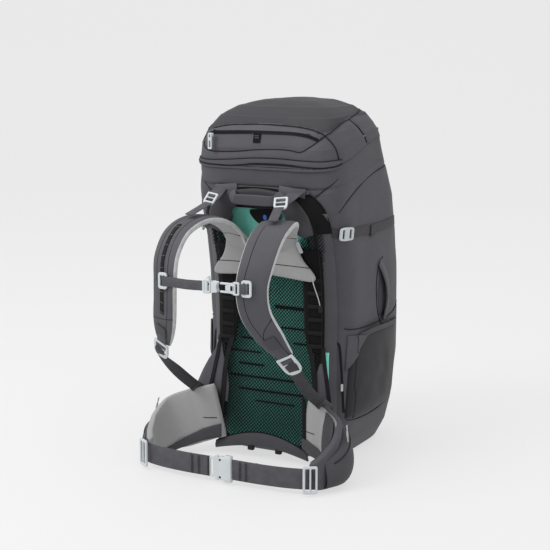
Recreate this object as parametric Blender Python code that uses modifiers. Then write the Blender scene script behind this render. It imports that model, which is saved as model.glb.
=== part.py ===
"""Hiking backpack with a suspended mesh back panel, an adjustable harness and a hip belt.

Metres, +Z up. The origin is the middle of the flat base. The wearer stands on the -Y side and
+X is the right-hand side as seen by someone looking at the harness.
"""

import math

import bmesh
import bpy
from mathutils import Matrix, Vector

# Driving dimensions of the main bag and the lid, one row per height:
# height at the front, slope of the row towards the rear, half width, front depth, rear depth
BAG_ROWS = (
    (0.000, 0.00, 0.135, 0.112, 0.120),
    (0.010, 0.00, 0.150, 0.124, 0.145),
    (0.040, 0.00, 0.163, 0.131, 0.172),
    (0.100, 0.00, 0.172, 0.134, 0.195),
    (0.200, 0.00, 0.178, 0.132, 0.210),
    (0.300, 0.00, 0.178, 0.131, 0.212),
    (0.400, 0.00, 0.178, 0.137, 0.203),
    (0.480, 0.00, 0.177, 0.155, 0.190),
    (0.545, 0.10, 0.178, 0.178, 0.160),
    (0.585, 0.22, 0.176, 0.187, 0.113),
    (0.635, 0.27, 0.170, 0.188, 0.066),
)
LID_ROWS = (
    (0.640, 0.27, 0.1735, 0.1915, 0.0700),
    (0.680, 0.15, 0.1680, 0.1920, 0.0720),
    (0.712, 0.08, 0.1560, 0.1840, 0.0660),
    (0.742, 0.03, 0.1400, 0.1500, 0.0560),
    (0.762, 0.00, 0.1120, 0.1100, 0.0400),
    (0.773, 0.00, 0.0700, 0.0720, 0.0200),
)
LID_PEAK = (0.0, -0.030, 0.778)
SLOPE_REACH = 0.20
RING_POINTS = 32
FRONT_SQUARENESS = 7.0
REAR_SQUARENESS = 3.5
BAG_WALL = 0.004
LID_WALL = 0.003

# Back panel: the depth of the wire frame's centre plane against height
FRAME_PROFILE = ((0.00, -0.180), (0.10, -0.172), (0.20, -0.161), (0.30, -0.155),
                 (0.40, -0.160), (0.48, -0.176), (0.55, -0.200), (0.60, -0.205))
FRAME_HALF_WIDTH = 0.122
FRAME_LOW, FRAME_HIGH = 0.034, 0.556
FRAME_CORNER = 0.050
FRAME_RADIUS = 0.004
MESH_THICKNESS = 0.0016
BAND_WIDTH = 0.040
BAND_THICKNESS = 0.004

# Harness
SHOULDER_PATH = ((0.058, -0.191, 0.477), (0.064, -0.213, 0.508), (0.081, -0.252, 0.531), (0.095, -0.302, 0.535),
                 (0.103, -0.358, 0.516), (0.104, -0.396, 0.475), (0.100, -0.411, 0.428), (0.105, -0.405, 0.375),
                 (0.125, -0.378, 0.322), (0.144, -0.350, 0.281))
SHOULDER_WIDTHS = (0.052, 0.058, 0.070, 0.071, 0.069, 0.067, 0.064, 0.061, 0.052, 0.036)
SHOULDER_TWIST = 0.33
STERNUM_Y, STERNUM_Z, STERNUM_X = -0.4265, 0.428, 0.096
STERNUM_SPLIT = 0.036
WEB_THICKNESS = 0.0018

# Hip belt
FIN_PATH = ((0.122, -0.203), (0.160, -0.207), (0.197, -0.229),
            (0.214, -0.268), (0.209, -0.305), (0.194, -0.335))
FIN_LOW = (0.045, 0.024, 0.009, 0.004, 0.004, 0.005)
FIN_HIGH = (0.142, 0.146, 0.137, 0.112, 0.084, 0.062)
FIN_THICKNESS = 0.018
POCKET_DEPTH = 0.030
BELT_Z = 0.034
BELT_HEIGHT = 0.045
BELT_END = (0.187, -0.3445)
BELT_CENTRE_Y = -0.363

MATERIALS = {
    "pack_fabric": ((0.090, 0.090, 0.098, 1.0), 0.80, 0.0),
    "black_fabric": ((0.012, 0.012, 0.013, 1.0), 0.85, 0.0),
    "liner_grey": ((0.380, 0.380, 0.375, 1.0), 0.90, 0.0),
    "teal_fabric": ((0.060, 0.260, 0.215, 1.0), 0.75, 0.0),
    "stretch_mesh": ((0.060, 0.062, 0.066, 1.0), 0.90, 0.0),
    "webbing": ((0.075, 0.073, 0.080, 1.0), 0.75, 0.0),
    "pale_plastic": ((0.620, 0.640, 0.650, 1.0), 0.40, 0.0),
    "black_plastic": ((0.015, 0.015, 0.016, 1.0), 0.45, 0.0),
    "spring_steel": ((0.450, 0.450, 0.460, 1.0), 0.30, 1.0),
}


def clear_scene():
    for obj in list(bpy.data.objects):
        bpy.data.objects.remove(obj)


def make_collections():
    made = {}
    for name in ("hiking_backpack", "cutters"):
        made[name] = bpy.data.collections.new(name)
        bpy.context.scene.collection.children.link(made[name])
    return made


def material(name):
    found = bpy.data.materials.get(name)
    if found:
        return found
    colour, roughness, metallic = MATERIALS[name]
    made = bpy.data.materials.new(name)
    made.use_nodes = True
    shader = made.node_tree.nodes["Principled BSDF"]
    shader.inputs["Base Color"].default_value = colour
    shader.inputs["Roughness"].default_value = roughness
    shader.inputs["Metallic"].default_value = metallic
    return made


def add_object(name, data, slot, collection="hiking_backpack"):
    obj = bpy.data.objects.new(name, data)
    bpy.data.collections[collection].objects.link(obj)
    data.materials.append(material(slot))
    return obj


def mesh_from(name, points, faces):
    mesh = bpy.data.meshes.new(name)
    mesh.from_pydata([tuple(p) for p in points], [], faces)
    mesh.update()
    return mesh


def lerp_profile(profile, value):
    """The profile's second number at this first number, straight between its points."""
    for (a, low), (b, high) in zip(profile, profile[1:]):
        if value <= b:
            share = max(0.0, (value - a) / (b - a))
            return low + (high - low) * share
    return profile[-1][1]


def smooth_path(points, steps):
    """A Catmull-Rom curve through the points, with that many steps to a span."""
    points = [Vector(p) for p in points]
    ends = [2 * points[0] - points[1], *points, 2 * points[-1] - points[-2]]
    made = []
    for i in range(1, len(ends) - 2):
        a, b, c, d = ends[i - 1 : i + 3]
        for k in range(steps):
            t = k / steps
            made.append(0.5 * (2 * b + (c - a) * t + (2 * a - 5 * b + 4 * c - d) * t * t
                               + (3 * b - a - 3 * c + d) * t ** 3))
    return [*made, points[-1]]


def smooth_values(values, steps):
    return [v.x for v in smooth_path([(v, 0, 0) for v in values], steps)]


def ring(row, front_squareness=FRONT_SQUARENESS, inset=0.0):
    """One closed row of a bag: a superellipse, squarer on the harness side. Its slope stops
    SLOPE_REACH behind the front, so a sloping row is level at the rear."""
    z, tilt, half_width, front, rear = row
    half_width, front, rear = half_width - inset, front - inset, rear - inset
    points = []
    for i in range(RING_POINTS):
        angle = 2 * math.pi * i / RING_POINTS
        c, s = math.cos(angle), math.sin(angle)
        power = 2 / (front_squareness if s < 0 else REAR_SQUARENESS)
        depth = front if s < 0 else rear
        x = half_width * math.copysign(abs(c) ** (2 / 5 if s >= 0 else power), c)
        y = depth * math.copysign(abs(s) ** power, s)
        points.append(Vector((x, y, z + tilt * min(y + front, SLOPE_REACH))))
    return points


def loft_faces(rows, count, closed_ring=True):
    faces = []
    for r in range(rows - 1):
        for i in range(count if closed_ring else count - 1):
            j = (i + 1) % count
            faces.append((r * count + i, r * count + j, (r + 1) * count + j, (r + 1) * count + i))
    return faces


def solid_loft(name, sections, slot):
    """A closed solid through closed sections that all have the same number of points."""
    count = len(sections[0])
    points = [p for section in sections for p in section]
    faces = loft_faces(len(sections), count)
    faces.append(tuple(reversed(range(count))))
    faces.append(tuple(range(len(points) - count, len(points))))
    mesh = mesh_from(name, points, faces)
    fix_normals(mesh)
    mesh.shade_smooth()
    mesh.set_sharp_from_angle(angle=math.radians(40))
    return add_object(name, mesh, slot)


def fix_normals(mesh):
    work = bmesh.new()
    work.from_mesh(mesh)
    bmesh.ops.recalc_face_normals(work, faces=work.faces)
    work.to_mesh(mesh)
    work.free()


def solidify(obj, thickness):
    modifier = obj.modifiers.new("wall", "SOLIDIFY")
    modifier.thickness = thickness
    modifier.offset = -1
    modifier.use_even_offset = True
    return obj


def section(centre, along, side, width, thickness, soft=True):
    """A flat band's cross-section: eight points with softened corners, or four square ones."""
    along = along.normalized()
    side = (side - along * side.dot(along)).normalized()
    normal = along.cross(side)
    w, t = width / 2, thickness / 2
    c = min(w, t) * 0.6
    if soft:
        corners = ((w, t - c), (w - c, t), (c - w, t), (-w, t - c),
                   (-w, c - t), (c - w, -t), (w - c, -t), (w, c - t))
    else:
        corners = ((w, t), (-w, t), (-w, -t), (w, -t))
    return [centre + side * a + normal * b for a, b in corners]


def band(name, points, widths, thickness, side, slot, steps=2, soft=True):
    """A strap, pad or strip that follows a smooth path. Widths and thicknesses may change along it."""
    path = smooth_path(points, steps) if steps > 1 else [Vector(p) for p in points]
    count = len(path)
    widths = [widths] * count if isinstance(widths, float) else smooth_values(widths, max(steps, 1))
    thick = [thickness] * count if isinstance(thickness, float) else smooth_values(thickness, max(steps, 1))
    sections = []
    for i, p in enumerate(path):
        along = path[min(i + 1, count - 1)] - path[max(i - 1, 0)]
        sections.append(section(p, along, Vector(side), widths[i], thick[i], soft))
    return solid_loft(name, sections, slot)


def mirrored(points, side):
    return tuple((side * p[0], *p[1:]) for p in points)


def box_mesh(size, bevel=0.0):
    work = bmesh.new()
    bmesh.ops.create_cube(work, size=1.0)
    bmesh.ops.scale(work, vec=size, verts=work.verts)
    if bevel:
        bmesh.ops.bevel(work, geom=work.edges, offset=bevel, segments=1, affect="EDGES")
    mesh = bpy.data.meshes.new("box")
    work.to_mesh(mesh)
    work.free()
    return mesh


def box(name, size, place, slot, bevel=0.0, turn=None, collection="hiking_backpack"):
    obj = add_object(name, box_mesh(size, bevel), slot, collection)
    obj.location = place
    if turn is not None:
        obj.rotation_euler = turn
    if collection == "cutters":
        obj.hide_render = True
        obj.display_type = "WIRE"
    return obj


def cut(obj, cutter, operation="DIFFERENCE"):
    modifier = obj.modifiers.new("cut", "BOOLEAN")
    modifier.operation = operation
    modifier.object = cutter
    modifier.solver = "EXACT"


def placed(obj, origin, x_axis, z_axis):
    """Puts an object at a place with its own +X along x_axis and its own +Z near z_axis."""
    x = Vector(x_axis).normalized()
    z = (Vector(z_axis) - x * Vector(z_axis).dot(x)).normalized()
    y = z.cross(x)
    obj.matrix_world = Matrix.Translation(origin) @ Matrix((x, y, z)).transposed().to_4x4()
    return obj


def slotted_plate(name, width, height, thickness, slots, slot):
    """A flat buckle body with rectangular slots: width along its own X, height along its own Y.
    Each slot is (centre x, centre y, width, height)."""
    curve = bpy.data.curves.new(name, "CURVE")
    curve.dimensions = "2D"
    curve.fill_mode = "BOTH"
    curve.extrude = thickness / 2
    corner = min(width, height) * 0.16
    outlines = [(0, 0, width, height, corner)] + [(x, y, w, h, 0) for x, y, w, h in slots]
    for x, y, w, h, c in outlines:
        a, b = w / 2, h / 2
        if c:
            points = ((a, c - b), (a, b - c), (a - c, b), (c - a, b),
                      (-a, b - c), (-a, c - b), (c - a, -b), (a - c, -b))
        else:
            points = ((a, -b), (a, b), (-a, b), (-a, -b))
        spline = curve.splines.new("POLY")
        spline.points.add(len(points) - 1)
        for point, (px, py) in zip(spline.points, points):
            point.co = (x + px, y + py, 0, 1)
        spline.use_cyclic_u = True
    return add_object(name, curve, slot)


def tube(name, points, radius, slot, cyclic=False, resolution=2):
    curve = bpy.data.curves.new(name, "CURVE")
    curve.dimensions = "3D"
    curve.bevel_depth = radius
    curve.bevel_resolution = resolution
    curve.use_fill_caps = True
    spline = curve.splines.new("POLY")
    spline.points.add(len(points) - 1)
    for point, place in zip(spline.points, points):
        point.co = (*place, 1)
    spline.use_cyclic_u = cyclic
    return add_object(name, curve, slot)


def bag_row_at(rows, z):
    """A row of the bag or lid at this front height, between the stated ones."""
    for a, b in zip(rows, rows[1:]):
        if z <= b[0]:
            share = (z - a[0]) / (b[0] - a[0])
            return tuple(p + (q - p) * share for p, q in zip(a, b))
    return rows[-1]


def frame_y(z):
    return lerp_profile(FRAME_PROFILE, z)


# ---------------------------------------------------------------- main bag

def main_bag():
    rings = [ring(row) for row in BAG_ROWS]
    points = [p for r in rings for p in r]
    faces = loft_faces(len(rings), RING_POINTS)
    faces.append(tuple(reversed(range(RING_POINTS))))
    mesh = mesh_from("main_bag", points, faces)
    mesh.shade_smooth()
    mesh.set_sharp_from_angle(angle=math.radians(35))
    return solidify(add_object("main_bag", mesh, "pack_fabric"), BAG_WALL)


def base_stiffener():
    row = (BAG_WALL + 0.001, 0.0, *(v - BAG_WALL - 0.012 for v in BAG_ROWS[0][2:]))
    low = ring(row)
    high = [p + Vector((0, 0, 0.002)) for p in low]
    return solid_loft("base_stiffener", [low, high], "black_plastic")


def drawcord():
    row = bag_row_at(BAG_ROWS, 0.622)
    points = ring(row, inset=BAG_WALL + 0.0035)
    tube("drawcord", points, 0.0018, "webbing", cyclic=True, resolution=1)


CORD_LOCK = Vector((0.0, -0.1680, 0.6210))


def cord_lock():
    body = add_object("cord_lock", cylinder_mesh(0.0085, 0.016, 16), "black_plastic")
    body.location = CORD_LOCK


def cylinder_mesh(radius, depth, sides):
    work = bmesh.new()
    bmesh.ops.create_cone(work, cap_ends=True, segments=sides, radius1=radius, radius2=radius, depth=depth)
    mesh = bpy.data.meshes.new("cylinder")
    work.to_mesh(mesh)
    work.free()
    mesh.shade_smooth()
    mesh.set_sharp_from_angle(angle=math.radians(40))
    return mesh


# ---------------------------------------------------------------- back panel

def panel(name, half_width, low, high, depth_of, thickness, slot, rows=9, columns=5):
    """A thin curved panel facing the wearer. half_width(z) is its edge and depth_of(x, z) its front face."""
    points, faces = [], []
    for face in (0, 1):
        for r in range(rows):
            z = low + (high - low) * r / (rows - 1)
            for c in range(columns):
                x = half_width(z) * (2 * c / (columns - 1) - 1)
                points.append((x, depth_of(x, z) + face * thickness, z))
    size = rows * columns
    for r in range(rows - 1):
        for c in range(columns - 1):
            a, b = r * columns + c, r * columns + c + 1
            d, e = a + columns, b + columns
            faces.append((a, b, e, d))
            faces.append((size + d, size + e, size + b, size + a))
    rim = [c for c in range(columns)]
    rim += [r * columns + columns - 1 for r in range(1, rows)]
    rim += [(rows - 1) * columns + c for c in range(columns - 2, -1, -1)]
    rim += [r * columns for r in range(rows - 2, 0, -1)]
    for a, b in zip(rim, rim[1:] + rim[:1]):
        faces.append((b, a, size + a, size + b))
    mesh = mesh_from(name, points, faces)
    fix_normals(mesh)
    mesh.shade_smooth()
    mesh.set_sharp_from_angle(angle=math.radians(40))
    return add_object(name, mesh, slot)


def back_sheet():
    """The teal frame sheet that stands just in front of the bag's own front wall."""

    def depth(x, z):
        return -bag_row_at(BAG_ROWS, z)[3] - 0.0035

    panel("back_sheet", lambda z: 0.112, 0.050, 0.560, depth, 0.002, "teal_fabric", rows=10, columns=3)


def mesh_half_width(z):
    return FRAME_HALF_WIDTH + 0.006 - 0.018 * max(0.0, (z - 0.45) / 0.10)


def suspended_mesh():
    def depth(x, z):
        sag = 0.012 * (1 - (x / 0.108) ** 2)
        return frame_y(z) - 0.0009 - MESH_THICKNESS + max(0.0, sag)

    panel("suspended_mesh", mesh_half_width, 0.048, 0.505, depth, MESH_THICKNESS, "teal_fabric",
          rows=11, columns=7)


def frame_loop(half_width, low, high, corner, arc_steps=4, side_steps=7):
    """The rounded rectangle of the wire frame, counter-clockwise, seen from the harness side."""
    outline = []
    centres = ((half_width - corner, high - corner, 0), (corner - half_width, high - corner, 90),
               (corner - half_width, low + corner, 180), (half_width - corner, low + corner, 270))
    for x, z, start in centres:
        for k in range(arc_steps + 1):
            angle = math.radians(start + 90 * k / arc_steps)
            outline.append((x + corner * math.cos(angle), z + corner * math.sin(angle)))
    full = []
    for a, b in zip(outline, outline[1:] + outline[:1]):
        steps = side_steps if abs(a[1] - b[1]) > 0.2 else 1
        for k in range(steps):
            full.append((a[0] + (b[0] - a[0]) * k / steps, a[1] + (b[1] - a[1]) * k / steps))
    return full


def frame_tube():
    loop = frame_loop(FRAME_HALF_WIDTH, FRAME_LOW, FRAME_HIGH, FRAME_CORNER)
    points = [(x, frame_y(z) + FRAME_RADIUS + 0.0012, z) for x, z in loop]
    tube("frame_tube", points, FRAME_RADIUS, "spring_steel", cyclic=True, resolution=1)


def side_band(side, label):
    """The black channel that covers one side of the wire frame and carries the torso ladder."""
    middle = FRAME_HALF_WIDTH - 0.008
    route = ((middle + 0.002, 0.075), (middle, 0.14), (middle, 0.21), (middle, 0.29), (middle, 0.37),
             (middle, 0.44), (middle - 0.001, 0.48), (middle - 0.004, 0.505), (middle - 0.008, 0.525))
    depth = BAND_THICKNESS / 2 + MESH_THICKNESS + 0.0022
    points = [(side * x, frame_y(z) - depth - 0.001, z) for x, z in route]
    sections = []
    path = [Vector(p) for p in points]
    for i, p in enumerate(path):
        along = path[min(i + 1, len(path) - 1)] - path[max(i - 1, 0)]
        sections.append(section(p, along, along.cross(Vector((0, 1, 0))), BAND_WIDTH, BAND_THICKNESS))
    solid_loft(f"side_band_{label}", sections, "black_fabric")


def side_wing(side, label):
    """The fabric wall that joins the bag's front corner to the frame on one side."""
    sections = []
    for z in (0.060, 0.14, 0.22, 0.30, 0.38, 0.45, 0.51, 0.545):
        row = bag_row_at(BAG_ROWS, z)
        inner = Vector((FRAME_HALF_WIDTH + 0.019, frame_y(z) + 0.003, z))
        middle = on_bag(row, -52, 0.0060)
        outer = on_bag(row, -39, 0.0036)
        inner.y = min(inner.y, middle.y - 0.006)
        ends = [inner, (inner + middle) / 2, middle, outer]
        front, back = [], []
        for i, p in enumerate(ends):
            p.z = z
            along = ends[min(i + 1, 3)] - ends[max(i - 1, 0)]
            normal = Vector((along.y, -along.x, 0)).normalized() * 0.0011
            front.append(p + normal)
            back.append(p - normal)
        points = front + back[::-1]
        sections.append([Vector((side * p.x, p.y, z)) for p in points])
    solid_loft(f"side_wing_{label}", sections, "pack_fabric")


def lumbar_band():
    """The padded sleeve along the bottom of the frame, arched up in the middle."""
    points = [(x, frame_y(0.02) - 0.004 - 0.002, 0.026 + 0.012 * math.cos(x / 0.118 * math.pi / 2))
              for x in (-0.118, -0.08, -0.04, 0.0, 0.04, 0.08, 0.118)]
    band("lumbar_band", points, 0.026, 0.008, (0, 0, 1), "pack_fabric", steps=1)


# ---------------------------------------------------------------- pockets and side straps

def on_bag(row, angle, offset):
    """The place on a bag row at this angle in degrees from +X, pushed outwards by offset."""
    def at(degrees):
        z, tilt, half_width, front, rear = row
        c, s = math.cos(math.radians(degrees)), math.sin(math.radians(degrees))
        power = 2 / (FRONT_SQUARENESS if s < 0 else REAR_SQUARENESS)
        across = power if s < 0 else 2 / 5
        y = (front if s < 0 else rear) * math.copysign(abs(s) ** power, s)
        x = half_width * math.copysign(abs(c) ** across, c)
        return Vector((x, y, z + tilt * min(y + front, SLOPE_REACH)))
    along = at(angle + 1) - at(angle - 1)
    out = Vector((along.y, -along.x, 0)).normalized()
    return at(angle) + out * offset


def pocket(name, first, last, rows, wall, slot):
    """A pocket that stands off the bag between two angles, open at its top.
    rows holds (z, offset from the bag)."""
    sections = []
    steps = 8
    for z, offset in rows:
        row = bag_row_at(BAG_ROWS, z)
        inner, outer = [], []
        for i in range(steps + 1):
            angle = first + (last - first) * i / steps
            near = 0.0014 + offset * min(1.0, 4 * min(i, steps - i) / steps)
            inner.append(on_bag(row, angle, near))
            outer.append(on_bag(row, angle, near + wall))
        sections.append(outer + inner[::-1])
    solid_loft(name, sections, slot)


def mirror_to(name, source):
    """A copy on the other side of the bag's middle plane."""
    mesh = source.data.copy()
    mesh.transform(source.matrix_world)
    mesh.transform(Matrix.Scale(-1, 4, (1, 0, 0)))
    mesh.flip_normals()
    obj = bpy.data.objects.new(name, mesh)
    bpy.data.collections["hiking_backpack"].objects.link(obj)
    return obj


def pockets():
    side_rows = ((0.085, 0.002), (0.11, 0.007), (0.18, 0.013), (0.24, 0.015), (0.285, 0.014))
    pocket("side_pocket_right", -34, 48, side_rows, 0.002, "stretch_mesh")
    mirror_to("side_pocket_left", bpy.data.objects["side_pocket_right"])


SIDE_STRAP_Z = 0.495
STRAP_WIDTH = 0.022


def side_straps():
    row = bag_row_at(BAG_ROWS, SIDE_STRAP_Z)
    path = [on_bag(row, angle, 0.0048) for angle in range(-33, 67, 9)]
    sections = []
    for i, p in enumerate(path):
        along = path[min(i + 1, len(path) - 1)] - path[max(i - 1, 0)]
        sections.append(section(p, along, Vector((0, 0, 1)), STRAP_WIDTH, WEB_THICKNESS, soft=False))
    strap = solid_loft("side_strap_right", sections, "webbing")
    mirror_to("side_strap_left", strap)
    for side, label in ((1, "right"), (-1, "left")):
        buckle = slotted_plate(f"side_buckle_{label}", 0.028, 0.030, 0.004,
                               ((-0.006, 0, 0.005, 0.022), (0.006, 0, 0.005, 0.022)), "pale_plastic")
        x = row[2] + 0.0075
        placed(buckle, (side * x, -0.070, SIDE_STRAP_Z), (0, -side, 0), (side, 0, 0))


# ---------------------------------------------------------------- handles

TOP_HANDLE_AXIS = (-0.2075, 0.590)


def top_handle():
    y, z = TOP_HANDLE_AXIS
    points = ((-0.056, y, z - 0.004), (-0.047, y - 0.011, z - 0.010), (-0.032, y - 0.017, z - 0.015),
              (0.0, y - 0.019, z - 0.017), (0.032, y - 0.017, z - 0.015), (0.047, y - 0.011, z - 0.010),
              (0.056, y, z - 0.004))
    widths = (0.018, 0.022, 0.028, 0.030, 0.028, 0.022, 0.018)
    band("top_handle", points, widths, (0.003, 0.006, 0.010, 0.011, 0.010, 0.006, 0.003), (0, 0.3, 1),
         "pack_fabric", steps=2)


SIDE_HANDLE = (0.1815, 0.040, 0.348)


def side_handle():
    x, y, z = SIDE_HANDLE
    points = ((x + 0.0005, y - 0.002, z + 0.075), (x + 0.006, y - 0.002, z + 0.056), (x + 0.009, y, z + 0.030),
              (x + 0.010, y + 0.002, z), (x + 0.009, y + 0.002, z - 0.030), (x + 0.006, y + 0.001, z - 0.056),
              (x + 0.0005, y, z - 0.075))
    band("side_handle", points, (0.014, 0.020, 0.024, 0.026, 0.024, 0.020, 0.014),
         (0.003, 0.005, 0.006, 0.006, 0.006, 0.005, 0.003), (0, 1, 0), "pack_fabric", steps=2)


# ---------------------------------------------------------------- lid

def lid():
    rings = [ring(row) for row in LID_ROWS]
    points = [p for r in rings for p in r] + [Vector(LID_PEAK)]
    faces = loft_faces(len(rings), RING_POINTS)
    last = (len(rings) - 1) * RING_POINTS
    faces += [(last + i, last + (i + 1) % RING_POINTS, len(points) - 1) for i in range(RING_POINTS)]
    mesh = mesh_from("lid_shell", points, faces)
    mesh.shade_smooth()
    solidify(add_object("lid_shell", mesh, "pack_fabric"), LID_WALL)
    low = ring((0.6420, 0.27, 0.1675, 0.1870, 0.0640))
    high = [p + Vector((0, 0, 0.0025)) for p in low]
    solid_loft("lid_floor", [low, high], "pack_fabric")


def lid_face_y(x, z):
    """The outer face of the lid's harness side at this place."""
    row = bag_row_at(LID_ROWS, z)
    share = min(1.0, abs(x) / row[2])
    return -row[3] * (1 - share ** FRONT_SQUARENESS) ** (1 / FRONT_SQUARENESS)


LOWER_ZIP_Z, UPPER_ZIP_Z = 0.650, 0.703
UPPER_SLIDER_X = -0.118


def lid_zips():
    zips = (("lid_lower_zip", LOWER_ZIP_Z, 0.150, 0.0), ("lid_upper_zip", UPPER_ZIP_Z, 0.124, 0.004))
    for name, z, reach, lift in zips:
        points = []
        for k in range(-4, 5):
            x = reach * k / 4
            height = z + lift * (1 - (x / reach) ** 2)
            points.append((x, lid_face_y(x, height) - 0.0052, height))
        slope = Vector((0, 0.28, 1)) if lift else Vector((0, 0, 1))
        band(name, points, 0.009, 0.003, slope, "black_plastic", steps=1, soft=False)


def upper_zip_slider():
    y = lid_face_y(0.0, UPPER_ZIP_Z + 0.004) - 0.0052 - 0.0015 - 0.0038
    box("lid_zip_slider", (0.011, 0.004, 0.008), (UPPER_SLIDER_X, y, UPPER_ZIP_Z), "pale_plastic", 0.001)
    slots = ((0, 0.011, 0.004, 0.006), (0, -0.006, 0.004, 0.014))
    pull = slotted_plate("lid_zip_pull", 0.009, 0.034, 0.003, slots, "pale_plastic")
    placed(pull, (UPPER_SLIDER_X, y - 0.0048, UPPER_ZIP_Z - 0.013), (1, 0, 0), (0, -1, 0))


LID_BUCKLE = (0.1700, 0.607)


def lid_buckle():
    """The side-release buckle that holds the lid's rear edge down: the tongue hangs from the lid."""
    y, z = LID_BUCKLE
    catch = box("lid_catch", (0.032, 0.012, 0.030), (0, y, z - 0.018), "black_plastic", 0.0015)
    cavity = box("lid_catch_cavity", (0.025, 0.0076, 0.030), (0, y, z), "black_plastic", collection="cutters")
    cut(catch, cavity)
    box("lid_tongue", (0.018, 0.0030, 0.030), (0, y, z + 0.005), "black_plastic", 0.0008)
    strap = ((0, 0.0770, 0.7040), (0, 0.100, 0.6885), (0, 0.135, 0.660), (0, y, z + 0.0212))
    band("lid_strap", strap, 0.020, WEB_THICKNESS, (1, 0, 0), "webbing", steps=2, soft=False)


# ---------------------------------------------------------------- harness

def yoke_pad():
    """The padded plate that both shoulder straps are sewn to."""
    half = ((0.0, 0.404, 0.452), (0.030, 0.402, 0.456), (0.062, 0.400, 0.463),
            (0.090, 0.400, 0.455), (0.112, 0.406, 0.425))
    rows = [(-x, a, b) for x, a, b in half[:0:-1]] + list(half)
    sections = []
    for i, (x, low, high) in enumerate(rows):
        middle = (low + high) / 2
        y = frame_y(middle) - 0.0165 + 0.004 * (1 - (x / 0.112) ** 2)
        p = Vector((x, y, middle))
        sections.append(section(p, Vector((1, 0, 0)), Vector((0, -0.16, 1)), high - low, 0.010))
    solid_loft("yoke_pad", sections, "liner_grey")


def shoulder(side, label):
    thickness = (0.008, 0.011, 0.013, 0.013, 0.013, 0.013, 0.013, 0.013, 0.012, 0.009)
    band(f"shoulder_pad_{label}", mirrored(SHOULDER_PATH, side), SHOULDER_WIDTHS, thickness,
         (1, side * SHOULDER_TWIST, 0), "pack_fabric", steps=2)


ADJUSTER = (0.148, -0.349, 0.262)
LOWER_ANCHOR = (0.168, -0.1445, 0.152)


def adjuster(side, label):
    """The tilting ladder-lock at the strap's lower end and the webbing from it to the bag."""
    x, y, z = ADJUSTER
    down = Vector((0.012, 0.030, -0.040)).normalized()
    down.x *= side
    lock = slotted_plate(f"strap_adjuster_{label}", 0.034, 0.032, 0.005,
                         ((0, 0.0065, 0.026, 0.006), (0, -0.0065, 0.026, 0.006)), "pale_plastic")
    face = Vector((0, -1, -0.75))
    across = Vector((1, 0, 0))
    placed(lock, (side * x, y - 0.009, z), across, face)
    top = Vector((side * x, y + 0.001, z - 0.002))
    foot = Vector((side * LOWER_ANCHOR[0], LOWER_ANCHOR[1], LOWER_ANCHOR[2]))
    middle = (top + foot) / 2 + Vector((0, -0.006, -0.008))
    band(f"lower_webbing_{label}", (top, middle, foot), 0.024, WEB_THICKNESS, (1, 0, 0), "webbing",
         steps=4, soft=False)


LIFTER_BUCKLE = (0.083, -0.253, 0.5635)


def load_lifter(side, label):
    x, y, z = LIFTER_BUCKLE
    route = ((side * 0.077, -0.2010, 0.5960), (side * 0.080, -0.2280, 0.5800), (side * x, y - 0.002, z + 0.0030),
             (side * 0.092, -0.2900, 0.5520), (side * 0.098, -0.3200, 0.5455))
    band(f"load_lifter_{label}", route, 0.020, WEB_THICKNESS, (1, 0, 0), "webbing", steps=2, soft=False)
    lock = slotted_plate(f"lifter_buckle_{label}", 0.030, 0.026, 0.0035,
                         ((0, 0.005, 0.022, 0.005), (0, -0.005, 0.022, 0.005)), "pale_plastic")
    placed(lock, (side * x, y - 0.006, z + 0.0095), (1, 0, 0), (0, -0.35, 1))


def sternum():
    """The chest strap: a slider on each shoulder pad, webbing and a side-release buckle."""
    for side, label in ((1, "right"), (-1, "left")):
        slider = slotted_plate(f"sternum_slider_{label}", 0.022, 0.034, 0.004, ((0, 0, 0.005, 0.022),), "pale_plastic")
        placed(slider, (side * STERNUM_X, STERNUM_Y, STERNUM_Z), (1, 0, 0), (0, -1, 0.02))
    split, y, z = STERNUM_SPLIT, STERNUM_Y - 0.006, STERNUM_Z
    catch = box("sternum_catch", (0.034, 0.011, 0.028), (split - 0.015, y, z), "pale_plastic", 0.0015)
    cavity = box("sternum_catch_cavity", (0.030, 0.0066, 0.021), (split, y, z), "pale_plastic",
                 collection="cutters")
    cut(catch, cavity)
    box("sternum_tongue", (0.046, 0.0030, 0.015), (split + 0.013, y, z), "pale_plastic", 0.0008)
    left = -STERNUM_X + 0.000
    band("sternum_web_left", ((left, STERNUM_Y - 0.0038, z), (left / 2, y, z), (split - 0.0335, y, z)),
         0.020, WEB_THICKNESS, (0, 0, 1), "webbing", steps=3, soft=False)
    band("sternum_web_right", ((split + 0.037, y, z), (split + 0.052, y + 0.001, z), (STERNUM_X, STERNUM_Y - 0.0038, z)),
         0.020, WEB_THICKNESS, (0, 0, 1), "webbing", steps=2, soft=False)


# ---------------------------------------------------------------- hip belt

def fin(side, label):
    sections = []
    steps = 2
    centres = smooth_path([(side * x, y, 0) for x, y in FIN_PATH], steps)
    lows, highs = smooth_values(FIN_LOW, steps), smooth_values(FIN_HIGH, steps)
    for i, p in enumerate(centres):
        along = centres[min(i + 1, len(centres) - 1)] - centres[max(i - 1, 0)]
        low, high = max(0.0025, lows[i]), highs[i]
        place = Vector((p.x, p.y, (low + high) / 2))
        sections.append(section(place, along, Vector((0, 0, 1)), high - low, FIN_THICKNESS))
    solid_loft(f"hip_fin_{label}", sections, "liner_grey")


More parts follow.
